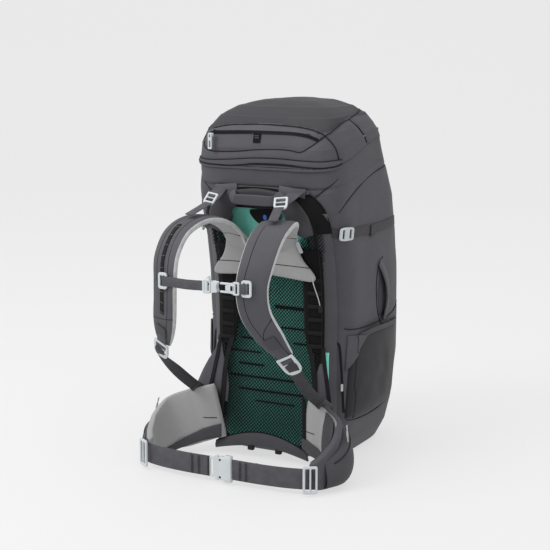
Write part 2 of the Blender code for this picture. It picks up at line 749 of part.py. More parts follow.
def hip_pocket(side, label):
    """The zipped pocket on the outside of a fin."""
    centres = smooth_path([(side * x, y, 0) for x, y in FIN_PATH], 4)
    lows, highs = smooth_values(FIN_LOW, 4), smooth_values(FIN_HIGH, 4)
    first, last = 7, 18
    sections = []
    for i in range(first, last + 1):
        along = centres[i + 1] - centres[i - 1]
        out = along.cross(Vector((0, 0, 1))).normalized() * -side
        share = math.sin(math.pi * (i - first + 0.8) / (last - first + 1.6))
        depth = 0.006 + (POCKET_DEPTH - 0.006) * share ** 0.7
        low, high = max(0.006, lows[i] + 0.004), highs[i] - 0.012
        place = centres[i] + out * (FIN_THICKNESS / 2 + 0.0006 + depth / 2)
        place.z = (low + high) / 2
        sections.append(pocket_section(place, out, high - low, depth))
    solid_loft(f"hip_pocket_{label}", sections, "pack_fabric")


def pocket_section(place, out, height, depth):
    """A pocket's cross-section: flat against the fin, round on the outside."""
    points = []
    for k in range(9):
        angle = math.pi * (k / 8 - 0.5)
        rise = Vector((0, 0, height / 2 * math.sin(angle)))
        points.append(place + rise + out * (depth * (math.cos(angle) - 0.5)))
    return points


PULL_HINGE = (0.2270, -0.2440, 0.1250)


def hip_pull(side, label):
    """The zip pull that hangs from the top of a hip pocket."""
    x, y, z = PULL_HINGE
    pull = slotted_plate(f"hip_zip_pull_{label}", 0.007, 0.034, 0.0028, ((0, 0.012, 0.003, 0.004), (0, -0.006, 0.003, 0.012)),
                         "pale_plastic")
    out = Vector((side * 0.90, -0.10, 0.42))
    hang = Vector((side * 0.42, 0.0, -0.90))
    placed(pull, Vector((side * x, y, z)) + hang * 0.019 + out * 0.002, out.cross(-hang), out)


def belt(side, label):
    x, y = BELT_END
    lock = slotted_plate(f"hip_lock_{label}", 0.030, 0.060, 0.005,
                         ((-0.006, 0, 0.006, 0.048), (0.006, 0, 0.006, 0.048)), "pale_plastic")
    placed(lock, (side * (x + 0.0125), y - 0.0065, BELT_Z + 0.001), (side * 0.62, 0.30, 0), (0.30 * side, -0.62, 0))
    inner = 0.0265
    route = ((side * (x - 0.008), y - 0.004, BELT_Z), (side * 0.11, y - 0.0115, BELT_Z - 0.001),
             (side * inner, BELT_CENTRE_Y, BELT_Z))
    band(f"hip_webbing_{label}", route, BELT_HEIGHT, WEB_THICKNESS, (0, 0, 1), "webbing", steps=4, soft=False)


def hip_buckle():
    y, z = BELT_CENTRE_Y, BELT_Z
    catch = box("hip_catch", (0.034, 0.0125, 0.058), (0.0085, y, z), "pale_plastic", 0.002)
    cavity = box("hip_catch_cavity", (0.034, 0.0082, 0.048), (-0.0035, y, z), "pale_plastic",
                 collection="cutters")
    cut(catch, cavity)
    box("hip_tongue", (0.034, 0.0036, 0.038), (-0.009, y, z), "pale_plastic", 0.001)


def main():
    clear_scene()
    make_collections()
    main_bag()
    base_stiffener()
    drawcord()
    cord_lock()
    back_sheet()
    suspended_mesh()
    frame_tube()
    lumbar_band()
    pockets()
    side_straps()
    top_handle()
    side_handle()
    lid()
    lid_zips()
    upper_zip_slider()
    lid_buckle()
    yoke_pad()
    sternum()
    hip_buckle()
    for side, label in ((1, "right"), (-1, "left")):
        side_band(side, label)
        side_wing(side, label)
        shoulder(side, label)
        adjuster(side, label)
        load_lifter(side, label)
        fin(side, label)
        hip_pocket(side, label)
        hip_pull(side, label)
        belt(side, label)


main()
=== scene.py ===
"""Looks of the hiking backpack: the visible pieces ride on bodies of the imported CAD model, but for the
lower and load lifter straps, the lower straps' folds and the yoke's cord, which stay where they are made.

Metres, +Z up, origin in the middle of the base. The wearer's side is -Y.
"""

import math

import bmesh
import bpy
import numpy as np
from mathutils import Matrix, Vector, noise
from mathutils.bvhtree import BVHTree
from mathutils.kdtree import KDTree


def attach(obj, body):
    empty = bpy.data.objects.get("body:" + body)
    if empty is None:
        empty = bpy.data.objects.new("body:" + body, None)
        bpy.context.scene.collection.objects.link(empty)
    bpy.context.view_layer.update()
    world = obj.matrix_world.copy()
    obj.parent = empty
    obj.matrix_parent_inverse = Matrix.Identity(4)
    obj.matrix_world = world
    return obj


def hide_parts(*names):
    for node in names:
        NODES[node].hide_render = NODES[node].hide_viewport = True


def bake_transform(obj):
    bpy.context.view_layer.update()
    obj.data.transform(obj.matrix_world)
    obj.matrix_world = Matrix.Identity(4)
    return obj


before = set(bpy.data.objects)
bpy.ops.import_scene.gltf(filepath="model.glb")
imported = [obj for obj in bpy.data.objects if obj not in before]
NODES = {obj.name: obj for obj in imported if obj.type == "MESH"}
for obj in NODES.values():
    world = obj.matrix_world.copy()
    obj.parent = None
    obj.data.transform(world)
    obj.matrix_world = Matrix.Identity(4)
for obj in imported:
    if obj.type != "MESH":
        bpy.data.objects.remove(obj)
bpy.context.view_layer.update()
SIDES = ((1, "right"), (-1, "left"))

# ------------------------------------------------------------------ camera

CAMERA_AZIMUTH, CAMERA_DISTANCE, CAMERA_HEIGHT = math.radians(27), 3.1, 0.94
CAMERA_AIM = Vector((-0.069, 0, 0.374))
CAMERA_LENS, SENSOR = 92.03, 36.0


def make_camera():
    data = bpy.data.cameras.new("camera")
    data.lens, data.sensor_width = CAMERA_LENS, SENSOR
    obj = bpy.data.objects.new("camera", data)
    bpy.context.scene.collection.objects.link(obj)
    obj.location = (math.sin(CAMERA_AZIMUTH) * CAMERA_DISTANCE, -math.cos(CAMERA_AZIMUTH) * CAMERA_DISTANCE,
                    CAMERA_HEIGHT)
    obj.rotation_euler = (CAMERA_AIM - obj.location).to_track_quat("-Z", "Y").to_euler()
    bpy.context.scene.camera = obj


make_camera()

# ------------------------------------------------------------------ materials


DEEP = 0.028  # colours below this are matt black yarns, which hardly shine
MATT_SHINE, SHEET_SHINE, USUAL_SHINE = 0.12, 0.15, 0.5


def shader_material(name, colour, roughness, sheen=0.0, coat=0.0):
    mat = bpy.data.materials.new(name)
    mat.use_nodes = True
    tree = mat.node_tree
    bsdf = tree.nodes["Principled BSDF"]
    bsdf.inputs["Base Color"].default_value = (*colour, 1)
    bsdf.inputs["Roughness"].default_value = roughness
    bsdf.inputs["Sheen Weight"].default_value = sheen
    bsdf.inputs["Coat Weight"].default_value = coat
    bsdf.inputs["Specular IOR Level"].default_value = MATT_SHINE if max(colour) < DEEP else USUAL_SHINE
    return mat, tree, bsdf


def math_node(tree, operation, a, b=None):
    node = tree.nodes.new("ShaderNodeMath")
    node.operation = operation
    for socket, value in zip(node.inputs, (a, b)):
        if value is None:
            continue
        if isinstance(value, (int, float)):
            socket.default_value = value
        else:
            tree.links.new(value, socket)
    return node.outputs[0]


def coordinates(tree, source="Object", turn=(0, 0, 0)):
    coords = tree.nodes.new("ShaderNodeTexCoord")
    mapping = tree.nodes.new("ShaderNodeMapping")
    mapping.inputs["Rotation"].default_value = turn
    tree.links.new(coords.outputs[source], mapping.inputs["Vector"])
    return mapping.outputs[0]


def wave(tree, vector, scale, direction="X"):
    node = tree.nodes.new("ShaderNodeTexWave")
    node.bands_direction = direction
    node.inputs["Scale"].default_value = scale
    node.inputs["Distortion"].default_value = 0.0
    tree.links.new(vector, node.inputs["Vector"])
    return node.outputs["Fac"]


def noise_tex(tree, vector, scale, detail=3.0):
    node = tree.nodes.new("ShaderNodeTexNoise")
    node.inputs["Scale"].default_value = scale
    node.inputs["Detail"].default_value = detail
    tree.links.new(vector, node.inputs["Vector"])
    return node.outputs["Fac"]


def voronoi(tree, vector, scale):
    node = tree.nodes.new("ShaderNodeTexVoronoi")
    node.inputs["Scale"].default_value = scale
    tree.links.new(vector, node.inputs["Vector"])
    return node.outputs["Distance"]


def bump(tree, bsdf, height, strength, distance):
    node = tree.nodes.new("ShaderNodeBump")
    node.inputs["Strength"].default_value = strength
    node.inputs["Distance"].default_value = distance
    tree.links.new(height, node.inputs["Height"])
    tree.links.new(node.outputs[0], bsdf.inputs["Normal"])


def shade_colour(tree, bsdf, factor, dark, light, low=0.3, high=0.7):
    ramp = tree.nodes.new("ShaderNodeValToRGB")
    ramp.color_ramp.elements[0].position = low
    ramp.color_ramp.elements[0].color = (*dark, 1)
    ramp.color_ramp.elements[1].position = high
    ramp.color_ramp.elements[1].color = (*light, 1)
    tree.links.new(factor, ramp.inputs["Fac"])
    tree.links.new(ramp.outputs[0], bsdf.inputs["Base Color"])


def scaled(colour, k):
    return tuple(min(1.0, c * k) for c in colour)


def graded_painted_shade(name, low_colour, high_colour, low, high):
    """Woven cloth painted darker towards the foot of the pack, as painted shade."""
    mat, tree, bsdf = shader_material(name, high_colour, 0.8)
    bsdf.inputs["Specular IOR Level"].default_value = SHEET_SHINE
    split = tree.nodes.new("ShaderNodeSeparateXYZ")
    tree.links.new(coordinates(tree), split.inputs[0])
    shade_colour(tree, bsdf, split.outputs["Z"], low_colour, high_colour, low, high)
    return mat


THREADS = 260.0  # the scale of the weave's wave texture; the ribs of webbing have two of their own
RIBS_ACROSS, RIBS_ALONG = 45.0, 75.0


def woven(name, colour, roughness=0.78, vary=0.10, relief=0.25):
    """Plain woven nylon: a fine over-and-under weave, with slow wear in its colour."""
    mat, tree, bsdf = shader_material(name, colour, roughness, sheen=0.03)
    where = coordinates(tree)
    slow = noise_tex(tree, where, 22.0, 4.0)
    fine = noise_tex(tree, where, 900.0, 2.0)
    mixed = math_node(tree, "ADD", math_node(tree, "MULTIPLY", slow, 0.7),
                      math_node(tree, "MULTIPLY", fine, 0.3))
    shade_colour(tree, bsdf, mixed, scaled(colour, 1 - vary), scaled(colour, 1 + vary))
    diagonal = coordinates(tree, turn=(0, 0, math.radians(45)))
    over = wave(tree, diagonal, THREADS, "X")
    along = wave(tree, where, THREADS, "Z")
    bump(tree, bsdf, math_node(tree, "MULTIPLY", over, along), relief, 0.0004)
    return mat


def ribbed(name, colour):
    """Webbing: fine ribs along its length and slow wear. Its ribbons carry metres as UVs."""
    mat, tree, bsdf = shader_material(name, colour, 0.72, sheen=0.03)
    where = coordinates(tree, "UV")
    slow = noise_tex(tree, coordinates(tree), 60.0, 4.0)
    shade_colour(tree, bsdf, slow, scaled(colour, 0.84), scaled(colour, 1.16))
    across = wave(tree, where, RIBS_ACROSS, "Y")
    picks = wave(tree, where, RIBS_ALONG, "X")
    bump(tree, bsdf, math_node(tree, "ADD", across, math_node(tree, "MULTIPLY", picks, 0.5)), 0.5, 0.0003)
    return mat


def knitted(name, colour, hole, scale, low=0.10, high=0.42):
    """An open knit: small dark holes in a lighter yarn."""
    mat, tree, bsdf = shader_material(name, colour, 0.85, sheen=0.15)
    cells = voronoi(tree, coordinates(tree), scale)
    shade_colour(tree, bsdf, cells, hole, colour, low, high)
    bump(tree, bsdf, cells, 0.4, 0.0005)
    return mat


def moulded(name, colour, roughness=0.36):
    mat, tree, bsdf = shader_material(name, colour, roughness, coat=0.08)
    grain = noise_tex(tree, coordinates(tree), 700.0, 2.0)
    bump(tree, bsdf, grain, 0.08, 0.0003)
    shade_colour(tree, bsdf, noise_tex(tree, coordinates(tree), 40.0), scaled(colour, 0.96),
                 scaled(colour, 1.03))
    return mat


BODY = (0.060, 0.0580, 0.067)
MATERIALS = {
    "body": woven("body_fabric", BODY),
    "body_dark": woven("lid_fabric", scaled(BODY, 0.72)),
    "lid_top": woven("lid_top_fabric", scaled(BODY, 0.43)),
    # A lighter copy of the teal fabric, as painted light on the gussets.
    "teal_lit": woven("teal_lit", (0.19, 0.62, 0.52), 0.7, 0.08, 0.2),
    # The teal sheet behind the net, painted darker towards its foot as painted shade.
    "teal_deep": graded_painted_shade("teal_sheet_painted_shade", (0.045, 0.20, 0.155), (0.14, 0.50, 0.41), 0.05, 0.46),
    # A darker copy of the body fabric, as painted shade in recesses, under the handle and under the lid.
    "body_deep": woven("shade_fabric", scaled(BODY, 0.50)),
    "webbing": ribbed("grey_webbing", scaled(BODY, 0.92)),
    "webbing_dark": ribbed("dark_webbing", scaled(BODY, 0.42)),
    "black": woven("black_fabric", (0.006, 0.006, 0.006), 0.85, 0.15, 0.3),
    "black_web": ribbed("black_webbing", (0.010, 0.010, 0.011)),
    "net": woven("net_yarn", (0.005, 0.006, 0.006), 0.8, 0.2, 0.2),
    "stretch": knitted("stretch_knit", scaled(BODY, 0.41), scaled(BODY, 0.12), 520.0),
    "lining": knitted("spacer_lining", (0.30, 0.30, 0.30), (0.21, 0.21, 0.21), 480.0, 0.02, 0.35),
    "binding": ribbed("pale_binding", (0.42, 0.43, 0.43)),
    "teal": woven("teal_fabric", (0.15, 0.52, 0.44), 0.7, 0.08, 0.2),
    "pale": moulded("pale_plastic", (0.50, 0.53, 0.545)),
    "black_plastic": moulded("black_plastic", (0.012, 0.012, 0.013), 0.42),
    "seam": woven("seam_thread", scaled(BODY, 0.22), 0.9, 0.05, 0.1),
    "thread": woven("stitching", scaled(BODY, 1.25), 0.8, 0.05, 0.1),
    "blue": moulded("blue_print", (0.02, 0.10, 0.50), 0.5),
    "inside": woven("bag_inside", (0.16, 0.16, 0.165), 0.8),
}

# ------------------------------------------------------------------ geometry helpers


def catmull_rom(points, steps):
    """Places on a Catmull-Rom curve from the second point to the last but one, steps of them to a stretch."""
    t = np.linspace(0, 1, steps, endpoint=False)[:, None]
    stretches = []
    for a, b, c, d in zip(points, points[1:], points[2:], points[3:]):
        square, cube = 2 * a - 5 * b + 4 * c - d, 3 * b - a - 3 * c + d
        stretches.append(0.5 * (2 * b + (c - a) * t + square * t**2 + cube * t**3))
    return np.vstack(stretches)


def lengths_along(path):
    """How far along a path each of its places is."""
    return np.concatenate([[0], np.cumsum(np.linalg.norm(np.diff(path, axis=0), axis=1))])


def smooth_curve(points, count):
    """count places, evenly spaced along a Catmull-Rom curve through the points. Extra columns come along."""
    p = np.asarray(points, float)
    if len(p) == 2:
        return p[0] + (p[1] - p[0]) * np.linspace(0, 1, count)[:, None]
    ends = np.vstack([2 * p[0] - p[1], p, 2 * p[-1] - p[-2]])
    dense = np.vstack([catmull_rom(ends, 24), p[-1:]])
    length = lengths_along(dense[:, :3])
    wanted = np.linspace(0, length[-1], count)
    return np.column_stack([np.interp(wanted, length, column) for column in dense.T])


def new_object(name, mesh, mats):
    for mat in mats if isinstance(mats, list) else [mats]:
        mesh.materials.append(MATERIALS[mat] if isinstance(mat, str) else mat)
    obj = bpy.data.objects.new(name, mesh)
    bpy.context.scene.collection.objects.link(obj)
    return obj


def mesh_object(name, points, faces, mats, smooth=True, indices=None, uvs=None):
    mesh = bpy.data.meshes.new(name)
    mesh.from_pydata([tuple(p) for p in points], [], faces)
    if uvs is not None:
        layer = mesh.uv_layers.new(name="metres")
        for loop in mesh.loops:
            layer.data[loop.index].uv = uvs[loop.vertex_index]
    if indices is not None:
        mesh.polygons.foreach_set("material_index", indices)
    work = bmesh.new()
    work.from_mesh(mesh)
    bmesh.ops.recalc_face_normals(work, faces=work.faces)
    work.to_mesh(mesh)
    work.free()
    if smooth:
        mesh.shade_smooth()
        mesh.set_sharp_from_angle(angle=math.radians(50))
    return new_object(name, mesh, mats)


def finish_piece(obj, body, slot, *nodes):
    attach(obj, body)
    if nodes:
        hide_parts(*nodes)
    return obj


def modify(obj, kind, **settings):
    modifier = obj.modifiers.new(kind.lower(), kind)
    for key, value in settings.items():
        setattr(modifier, key, value)
    return obj


def grid_faces(rows, columns, ring=False):
    faces = []
    for r in range(rows - 1):
        for c in range(columns if ring else columns - 1):
            d = (c + 1) % columns
            faces.append((r * columns + c, r * columns + d, (r + 1) * columns + d, (r + 1) * columns + c))
    return faces


def frames_along(path, normals):
    """Unit tangents, normals and side vectors at each place of a path."""
    tangents = np.gradient(path, axis=0)
    tangents /= np.linalg.norm(tangents, axis=1)[:, None]
    normals = normals - tangents * np.sum(normals * tangents, axis=1)[:, None]
    normals /= np.linalg.norm(normals, axis=1)[:, None]
    return tangents, normals, np.cross(tangents, normals)


def ribbon_part(path, normals, width, thickness, lift=0.0):
    """A strap along a path, for join_parts. Normals point away from what it lies on. Widths may vary."""
    path = np.asarray(path, float)
    count = len(path)
    _, normals, side = frames_along(path, np.broadcast_to(np.asarray(normals, float), path.shape))
    if not np.isscalar(width):
        width = np.interp(np.linspace(0, 1, count), np.linspace(0, 1, len(width)), width)
    width = np.broadcast_to(width, count)
    h, c = thickness / 2, thickness * 0.3
    profile = ((-1, -c), (-1, c), (-0.94, h), (0, h), (0.94, h), (1, c), (1, -c), (0.94, -h), (0, -h),
               (-0.94, -h))
    length = lengths_along(path)
    points, uvs = [], []
    for i in range(count):
        for s, n in profile:
            points.append(path[i] + side[i] * s * width[i] / 2 + normals[i] * (n + lift + h))
            uvs.append((length[i], s * width[i] / 2))
    k = len(profile)
    faces = grid_faces(count, k, ring=True) + [tuple(range(k)), tuple(range((count - 1) * k, count * k))]
    return points, faces, 0, uvs


def ribbon(name, path, normals, width, thickness, mat, lift=0.0):
    """A strap along a path, as a piece of its own."""
    points, faces, _, uvs = ribbon_part(path, normals, width, thickness, lift)
    return mesh_object(name, points, faces, mat, uvs=uvs)


def tube(name, path, radius, mat):
    curve = bpy.data.curves.new(name, "CURVE")
    curve.dimensions = "3D"
    curve.bevel_depth, curve.bevel_resolution = radius, 3
    curve.use_fill_caps = True
    spline = curve.splines.new("POLY")
    spline.points.add(len(path) - 1)
    for point, place in zip(spline.points, path):
        point.co = (*place, 1)
    obj = bpy.data.objects.new(name, curve)
    bpy.context.scene.collection.objects.link(obj)
    curve.materials.append(MATERIALS[mat])
    return obj


def join_parts(name, parts, mats):
    """One object from (points, faces, material index) parts."""
    points, faces, indices, uvs = [], [], [], []
    for part in parts:
        p, f, index = part[:3]
        base = len(points)
        points += [tuple(v) for v in p]
        faces += [tuple(base + i for i in face) for face in f]
        indices += [index] * len(f)
        uvs += list(part[3]) if len(part) > 3 else [(v[0], v[2]) for v in p]
    return mesh_object(name, points, faces, mats, indices=indices, uvs=uvs)


def rope(path, radius, sides=6):
    """Points and faces of a plain tube, for joining."""
    path = np.asarray(path, float)
    up = np.tile([0.13, 0.21, 0.97], (len(path), 1))
    _, normals, side = frames_along(path, up)
    points = []
    for i in range(len(path)):
        for k in range(sides):
            a = 2 * math.pi * k / sides
            points.append(path[i] + radius * (math.cos(a) * normals[i] + math.sin(a) * side[i]))
    faces = grid_faces(len(path), sides, ring=True)
    faces += [tuple(range(sides)), tuple(range((len(path) - 1) * sides, len(path) * sides))]
    return points, faces


class Skin:
    """A surface that other pieces are laid on, found by casting rays at it."""

    def __init__(self, points, faces):
        self.tree = BVHTree.FromPolygons([Vector(p) for p in points], faces)

    def cast(self, start, direction):
        hit, normal, _, _ = self.tree.ray_cast(Vector(start), Vector(direction).normalized())
        if hit is None:
            raise ValueError(f"nothing under {tuple(start)}")
        if normal.dot(Vector(direction)) > 0:
            normal = -normal
        return np.array(hit), np.array(normal)

    def front(self, x, z):
        return self.cast((x, -0.6, z), (0, 1, 0))

    def side(self, side, y, z):
        return self.cast((side * 0.6, y, z), (-side, 0, 0))

    def nearest(self, point):
        hit, normal, _, _ = self.tree.find_nearest(Vector(point))
        return np.array(hit), np.array(normal)

    def lay(self, points, count):
        """A smooth path through rough points, each put on the surface, and its outward normals."""
        rough = smooth_curve(points, count)
        found = [self.nearest(p) for p in rough]
        return np.array([f[0] for f in found]), np.array([f[1] for f in found])


def smoothed(values, width):
    """Each column smoothed by a moving average, its ends kept."""
    kernel = np.hanning(width + 2)[1:-1]
    kernel /= kernel.sum()
    padded = np.pad(values, ((width // 2, width // 2), (0, 0)), mode="reflect", reflect_type="odd")
    return np.column_stack([np.convolve(padded[:, k], kernel, "valid")[: len(values)]
                            for k in range(values.shape[1])])


FRONT_POWER, REAR_POWER, REAR_ACROSS, SLOPE_REACH = 7.0, 3.5, 5.0, 0.20


def quadrant(a, b, n, m, count):
    """count places from (a, 0) to (0, b) on |x/a|^n + |y/b|^m = 1, evenly spaced, the last left out."""
    s = np.linspace(0, 1, 500)
    phi = math.pi / 2 * s**4 / (s**4 + (1 - s) ** 4)
    x, y = a * np.cos(phi) ** (2 / n), b * np.sin(phi) ** (2 / m)
    length = np.concatenate([[0], np.cumsum(np.hypot(np.diff(x), np.diff(y)))])
    wanted = np.linspace(0, length[-1], count + 1)[:-1]
    return np.interp(wanted, length, x), np.interp(wanted, length, y)


def ring_points(row, count):
    """A whole row, from +X round through the rear."""
    z, tilt, half_width, front, rear = row
    x, y = quadrant(half_width, rear, REAR_ACROSS, REAR_POWER, count)
    fx, fy = quadrant(half_width, front, FRONT_POWER, FRONT_POWER, count)
    xs = np.concatenate([x, -np.append(x, 0)[1:][::-1], -fx, np.append(fx, 0)[1:][::-1]])
    ys = np.concatenate([y, np.append(y, rear)[1:][::-1], -fy, -np.append(fy, front)[1:][::-1]])
    zs = z + tilt * np.minimum(ys + front, SLOPE_REACH)
    return np.column_stack([xs, ys, zs])


QUARTER = 56  # places in a quarter of a ring
RING = 4 * QUARTER


def lofted(rows, step, keep_below=0.0):
    """The rings of a bag or a lid, a step apart, their sizes smoothed but for those below a height."""
    rows = np.asarray(rows, float)
    zs = np.unique(np.concatenate([np.arange(rows[0, 0], rows[-1, 0], step), rows[:, 0]]))
    table = np.column_stack([np.interp(zs, rows[:, 0], column) for column in rows.T])
    soft = smoothed(table, 9)
    soft[:, 0] = table[:, 0]
    keep = table[:, 0] < keep_below
    soft[keep] = table[keep]
    soft[-1] = table[-1]
    return np.vstack([ring_points(row, QUARTER) for row in soft]), grid_faces(len(soft), RING, ring=True)


def creased(points, normals, seams, depth=0.0016, reach=0.006):
    """Points pulled in along the seams, so that the panels between them look filled."""
    tree = KDTree(sum(len(s) for s in seams))
    index = 0
    for seam in seams:
        for p in seam:
            tree.insert(Vector(p), index)
            index += 1
    tree.balance()
    moved = points.copy()
    for i, p in enumerate(points):
        _, _, distance = tree.find(Vector(p))
        if distance < 4 * reach:
            moved[i] -= normals[i] * depth * math.exp(-((distance / reach) ** 2))
    return moved


def vertex_normals(points, faces):
    mesh = bpy.data.meshes.new("scratch")
    mesh.from_pydata([tuple(p) for p in points], [], faces)
    mesh.update()
    normals = np.empty(len(points) * 3)
    mesh.vertices.foreach_get("normal", normals)
    bpy.data.meshes.remove(mesh)
    return normals.reshape(-1, 3)


def wrinkled(points, normals, amount, size, stretch=(1, 1, 1), seed=0.0):
    """Slow folds in the cloth, from smooth noise."""
    moved = points.copy()
    for i, p in enumerate(points):
        q = Vector((p[0] * stretch[0], p[1] * stretch[1],
                    p[2] * stretch[2])) / size + Vector((seed, seed, seed))
        moved[i] += normals[i] * amount * (noise.noise(q) + 0.4 * noise.noise(q * 2.3))
    return moved


# ------------------------------------------------------------------ bag and lid surfaces

BAG_ROWS = (
    (0.000, 0.00, 0.135, 0.112, 0.120),
    (0.010, 0.00, 0.150, 0.124, 0.145),
    (0.040, 0.00, 0.163, 0.131, 0.172),
    (0.100, 0.00, 0.172, 0.134, 0.195),
    (0.200, 0.00, 0.178, 0.132, 0.210),
    (0.300, 0.00, 0.178, 0.131, 0.212),
    (0.400, 0.00, 0.178, 0.137, 0.203),
    (0.480, 0.00, 0.177, 0.155, 0.190),
    (0.545, 0.10, 0.178, 0.178, 0.160),
    (0.585, 0.22, 0.176, 0.187, 0.113),
    (0.635, 0.27, 0.170, 0.188, 0.066),
)
LID_ROWS = (
    (0.640, 0.27, 0.1735, 0.1915, 0.0700),
    (0.680, 0.15, 0.1680, 0.1920, 0.0720),
    (0.712, 0.08, 0.1560, 0.1840, 0.0660),
    (0.742, 0.03, 0.1400, 0.1500, 0.0560),
    (0.762, 0.00, 0.1120, 0.1100, 0.0400),
    (0.773, 0.00, 0.0700, 0.0720, 0.0200),
    (0.7775, 0.00, 0.0060, 0.0300, 0.0010),
)

bag_points, bag_faces = lofted(BAG_ROWS, 0.0035, keep_below=0.02)
lid_points, lid_faces = lofted(LID_ROWS, 0.0022)
raw_bag, raw_lid = Skin(bag_points, bag_faces), Skin(lid_points, lid_faces)


def arch(t):
    """From 0 up to 1 and back to 0, as t goes from 0 to 1."""
    return math.sin(math.pi * t)


def mirror(points):
    return [(-p[0], *p[1:]) for p in points]


# Lines where the bag's panels are sewn together
BAG_SEAMS = {
    "trapezoid": [
        (0.168, -0.147, 0.633), (0.164, -0.157, 0.622), (0.157, -0.170, 0.610), (0.143, -0.180, 0.598),
        (0.129, -0.184, 0.586), (0.117, -0.184, 0.577),
    ],
    "shoulder": [
        (0.163, -0.156, 0.549), (0.173, -0.140, 0.567), (0.177, -0.103, 0.588), (0.177, -0.053, 0.607),
        (0.177, -0.008, 0.619), (0.172, 0.037, 0.626), (0.155, 0.075, 0.625),
    ],
    "waist": [
        (0.165, -0.122, 0.296), (0.172, -0.103, 0.293), (0.178, -0.048, 0.289), (0.178, 0.03, 0.288),
        (0.178, 0.085, 0.291), (0.170, 0.135, 0.300), (0.150, 0.168, 0.312),
    ],
    "rear_corner": [
        (0.155, 0.075, 0.625), (0.152, 0.110, 0.560), (0.150, 0.137, 0.480), (0.150, 0.155, 0.400),
        (0.150, 0.168, 0.312), (0.149, 0.170, 0.200), (0.146, 0.158, 0.110), (0.136, 0.133, 0.040),
    ],
    "hem": [
        (0.163, -0.110, 0.094), (0.172, -0.080, 0.088), (0.173, -0.020, 0.083), (0.174, 0.05, 0.085),
        (0.170, 0.110, 0.095), (0.146, 0.158, 0.110),
    ],
}
LID_SEAMS = {
    "side_front": [
        (0.143, -0.176, 0.711), (0.157, -0.167, 0.694), (0.166, -0.160, 0.671), (0.171, -0.156, 0.645),
    ],
    "side_rear": [
        (0.150, -0.070, 0.741), (0.160, -0.052, 0.724), (0.168, -0.042, 0.704), (0.172, -0.036, 0.686),
    ],
    "ridge": [
        (0.143, -0.176, 0.711), (0.149, -0.150, 0.721), (0.151, -0.110, 0.733), (0.148, -0.060, 0.741),
        (0.138, -0.015, 0.746), (0.120, 0.025, 0.742),
    ],
}
FRONT_SEAMS = {
    "top_front": [
        (-0.143, -0.176, 0.711), (-0.119, -0.173, 0.718), (-0.086, -0.170, 0.724), (-0.045, -0.168, 0.727),
        (0.0, -0.167, 0.728), (0.045, -0.168, 0.727), (0.086, -0.170, 0.724), (0.119, -0.173, 0.718),
        (0.143, -0.176, 0.711),
    ],
    "pocket_low": [
        (-0.150, -0.180, 0.690), (-0.146, -0.184, 0.678), (-0.132, -0.188, 0.670), (-0.109, -0.190, 0.668),
        (-0.062, -0.191, 0.670), (-0.014, -0.192, 0.675), (0.033, -0.192, 0.678), (0.068, -0.191, 0.677),
        (0.092, -0.191, 0.674), (0.113, -0.188, 0.686), (0.130, -0.182, 0.699), (0.143, -0.176, 0.711),
    ],
}


def on_both_sides(seams):
    """Each seam and its mirror image, named by side."""
    return {f"{key}_{label}": points if side > 0 else mirror(points)
            for side, label in SIDES for key, points in seams.items()}


def laid_seams(skin, lines):
    return [skin.lay(points, 60) for points in lines.values()]


bag_laid = laid_seams(raw_bag, on_both_sides(BAG_SEAMS))
lid_laid = laid_seams(raw_lid, {**FRONT_SEAMS, **on_both_sides(LID_SEAMS)})

normals = vertex_normals(bag_points, bag_faces)
calm = np.clip((bag_points[:, 2] - 0.02) / 0.05, 0, 1)[:, None]
bag_points = bag_points + (wrinkled(bag_points, normals, 0.0016, 0.085, (1, 1, 0.7), 3.1) - bag_points) * calm
bag_points = creased(bag_points, normals, [p for p, _ in bag_laid])
normals = vertex_normals(lid_points, lid_faces)
lid_points = wrinkled(lid_points, normals, 0.0013, 0.07, (0.8, 1, 1), 7.7)
lid_points = creased(lid_points, normals, [p for p, _ in lid_laid], 0.0020, 0.0065)
BAG, LID = Skin(bag_points, bag_faces), Skin(lid_points, lid_faces)


def shell(name, points, faces, capped, mats, wall):
    """The bag or the lid as one skin with an inner wall, closed by a face across its capped ring."""
    cap = tuple(range(capped * RING, (capped + 1) * RING))
    obj = mesh_object(name, points, [*faces, cap], mats)
    return modify(obj, "SOLIDIFY", thickness=wall, offset=-1, material_offset=1, material_offset_rim=1)


bag = shell("bag_body", bag_points, bag_faces, 0, ["body", "inside"], 0.0035)
finish_piece(bag, "pack", "pack_fabric", "main_bag")
lid_top_ring = len(lid_points) // RING - 1
lid = shell("lid_cover", lid_points, lid_faces, lid_top_ring, ["body", "inside", "lid_top"], 0.0028)


def colour_lid():
    """The lid's domed top is a darker fabric than its walls."""
    for face in lid.data.polygons:
        c = face.center
        limit = 0.7285 - 0.012 * (c.x / 0.143) ** 2 - 0.004 * (abs(c.x) / 0.143) ** 6
        along = min(1.0, max(0.0, (c.y + 0.176) / 0.11))
        if abs(c.x) > 0.12:
            limit = 0.711 + 0.030 * along
        if c.z > limit:
            face.material_index = 2


colour_lid()
finish_piece(lid, "lid", "pack_fabric", "lid_shell")


SEAM_RADIUS, SEAM_SINK = 0.0011, 0.0010


def seam_piece(name, laid, body):
    parts = [(*rope(path - normal * SEAM_SINK, SEAM_RADIUS), 0) for path, normal in laid]
    finish_piece(join_parts(name, parts, ["seam"]), body, "pack_fabric")


seam_piece("bag_seams", bag_laid, "pack")
seam_piece("lid_seams", lid_laid, "lid")

# ------------------------------------------------------------------ shared shapes


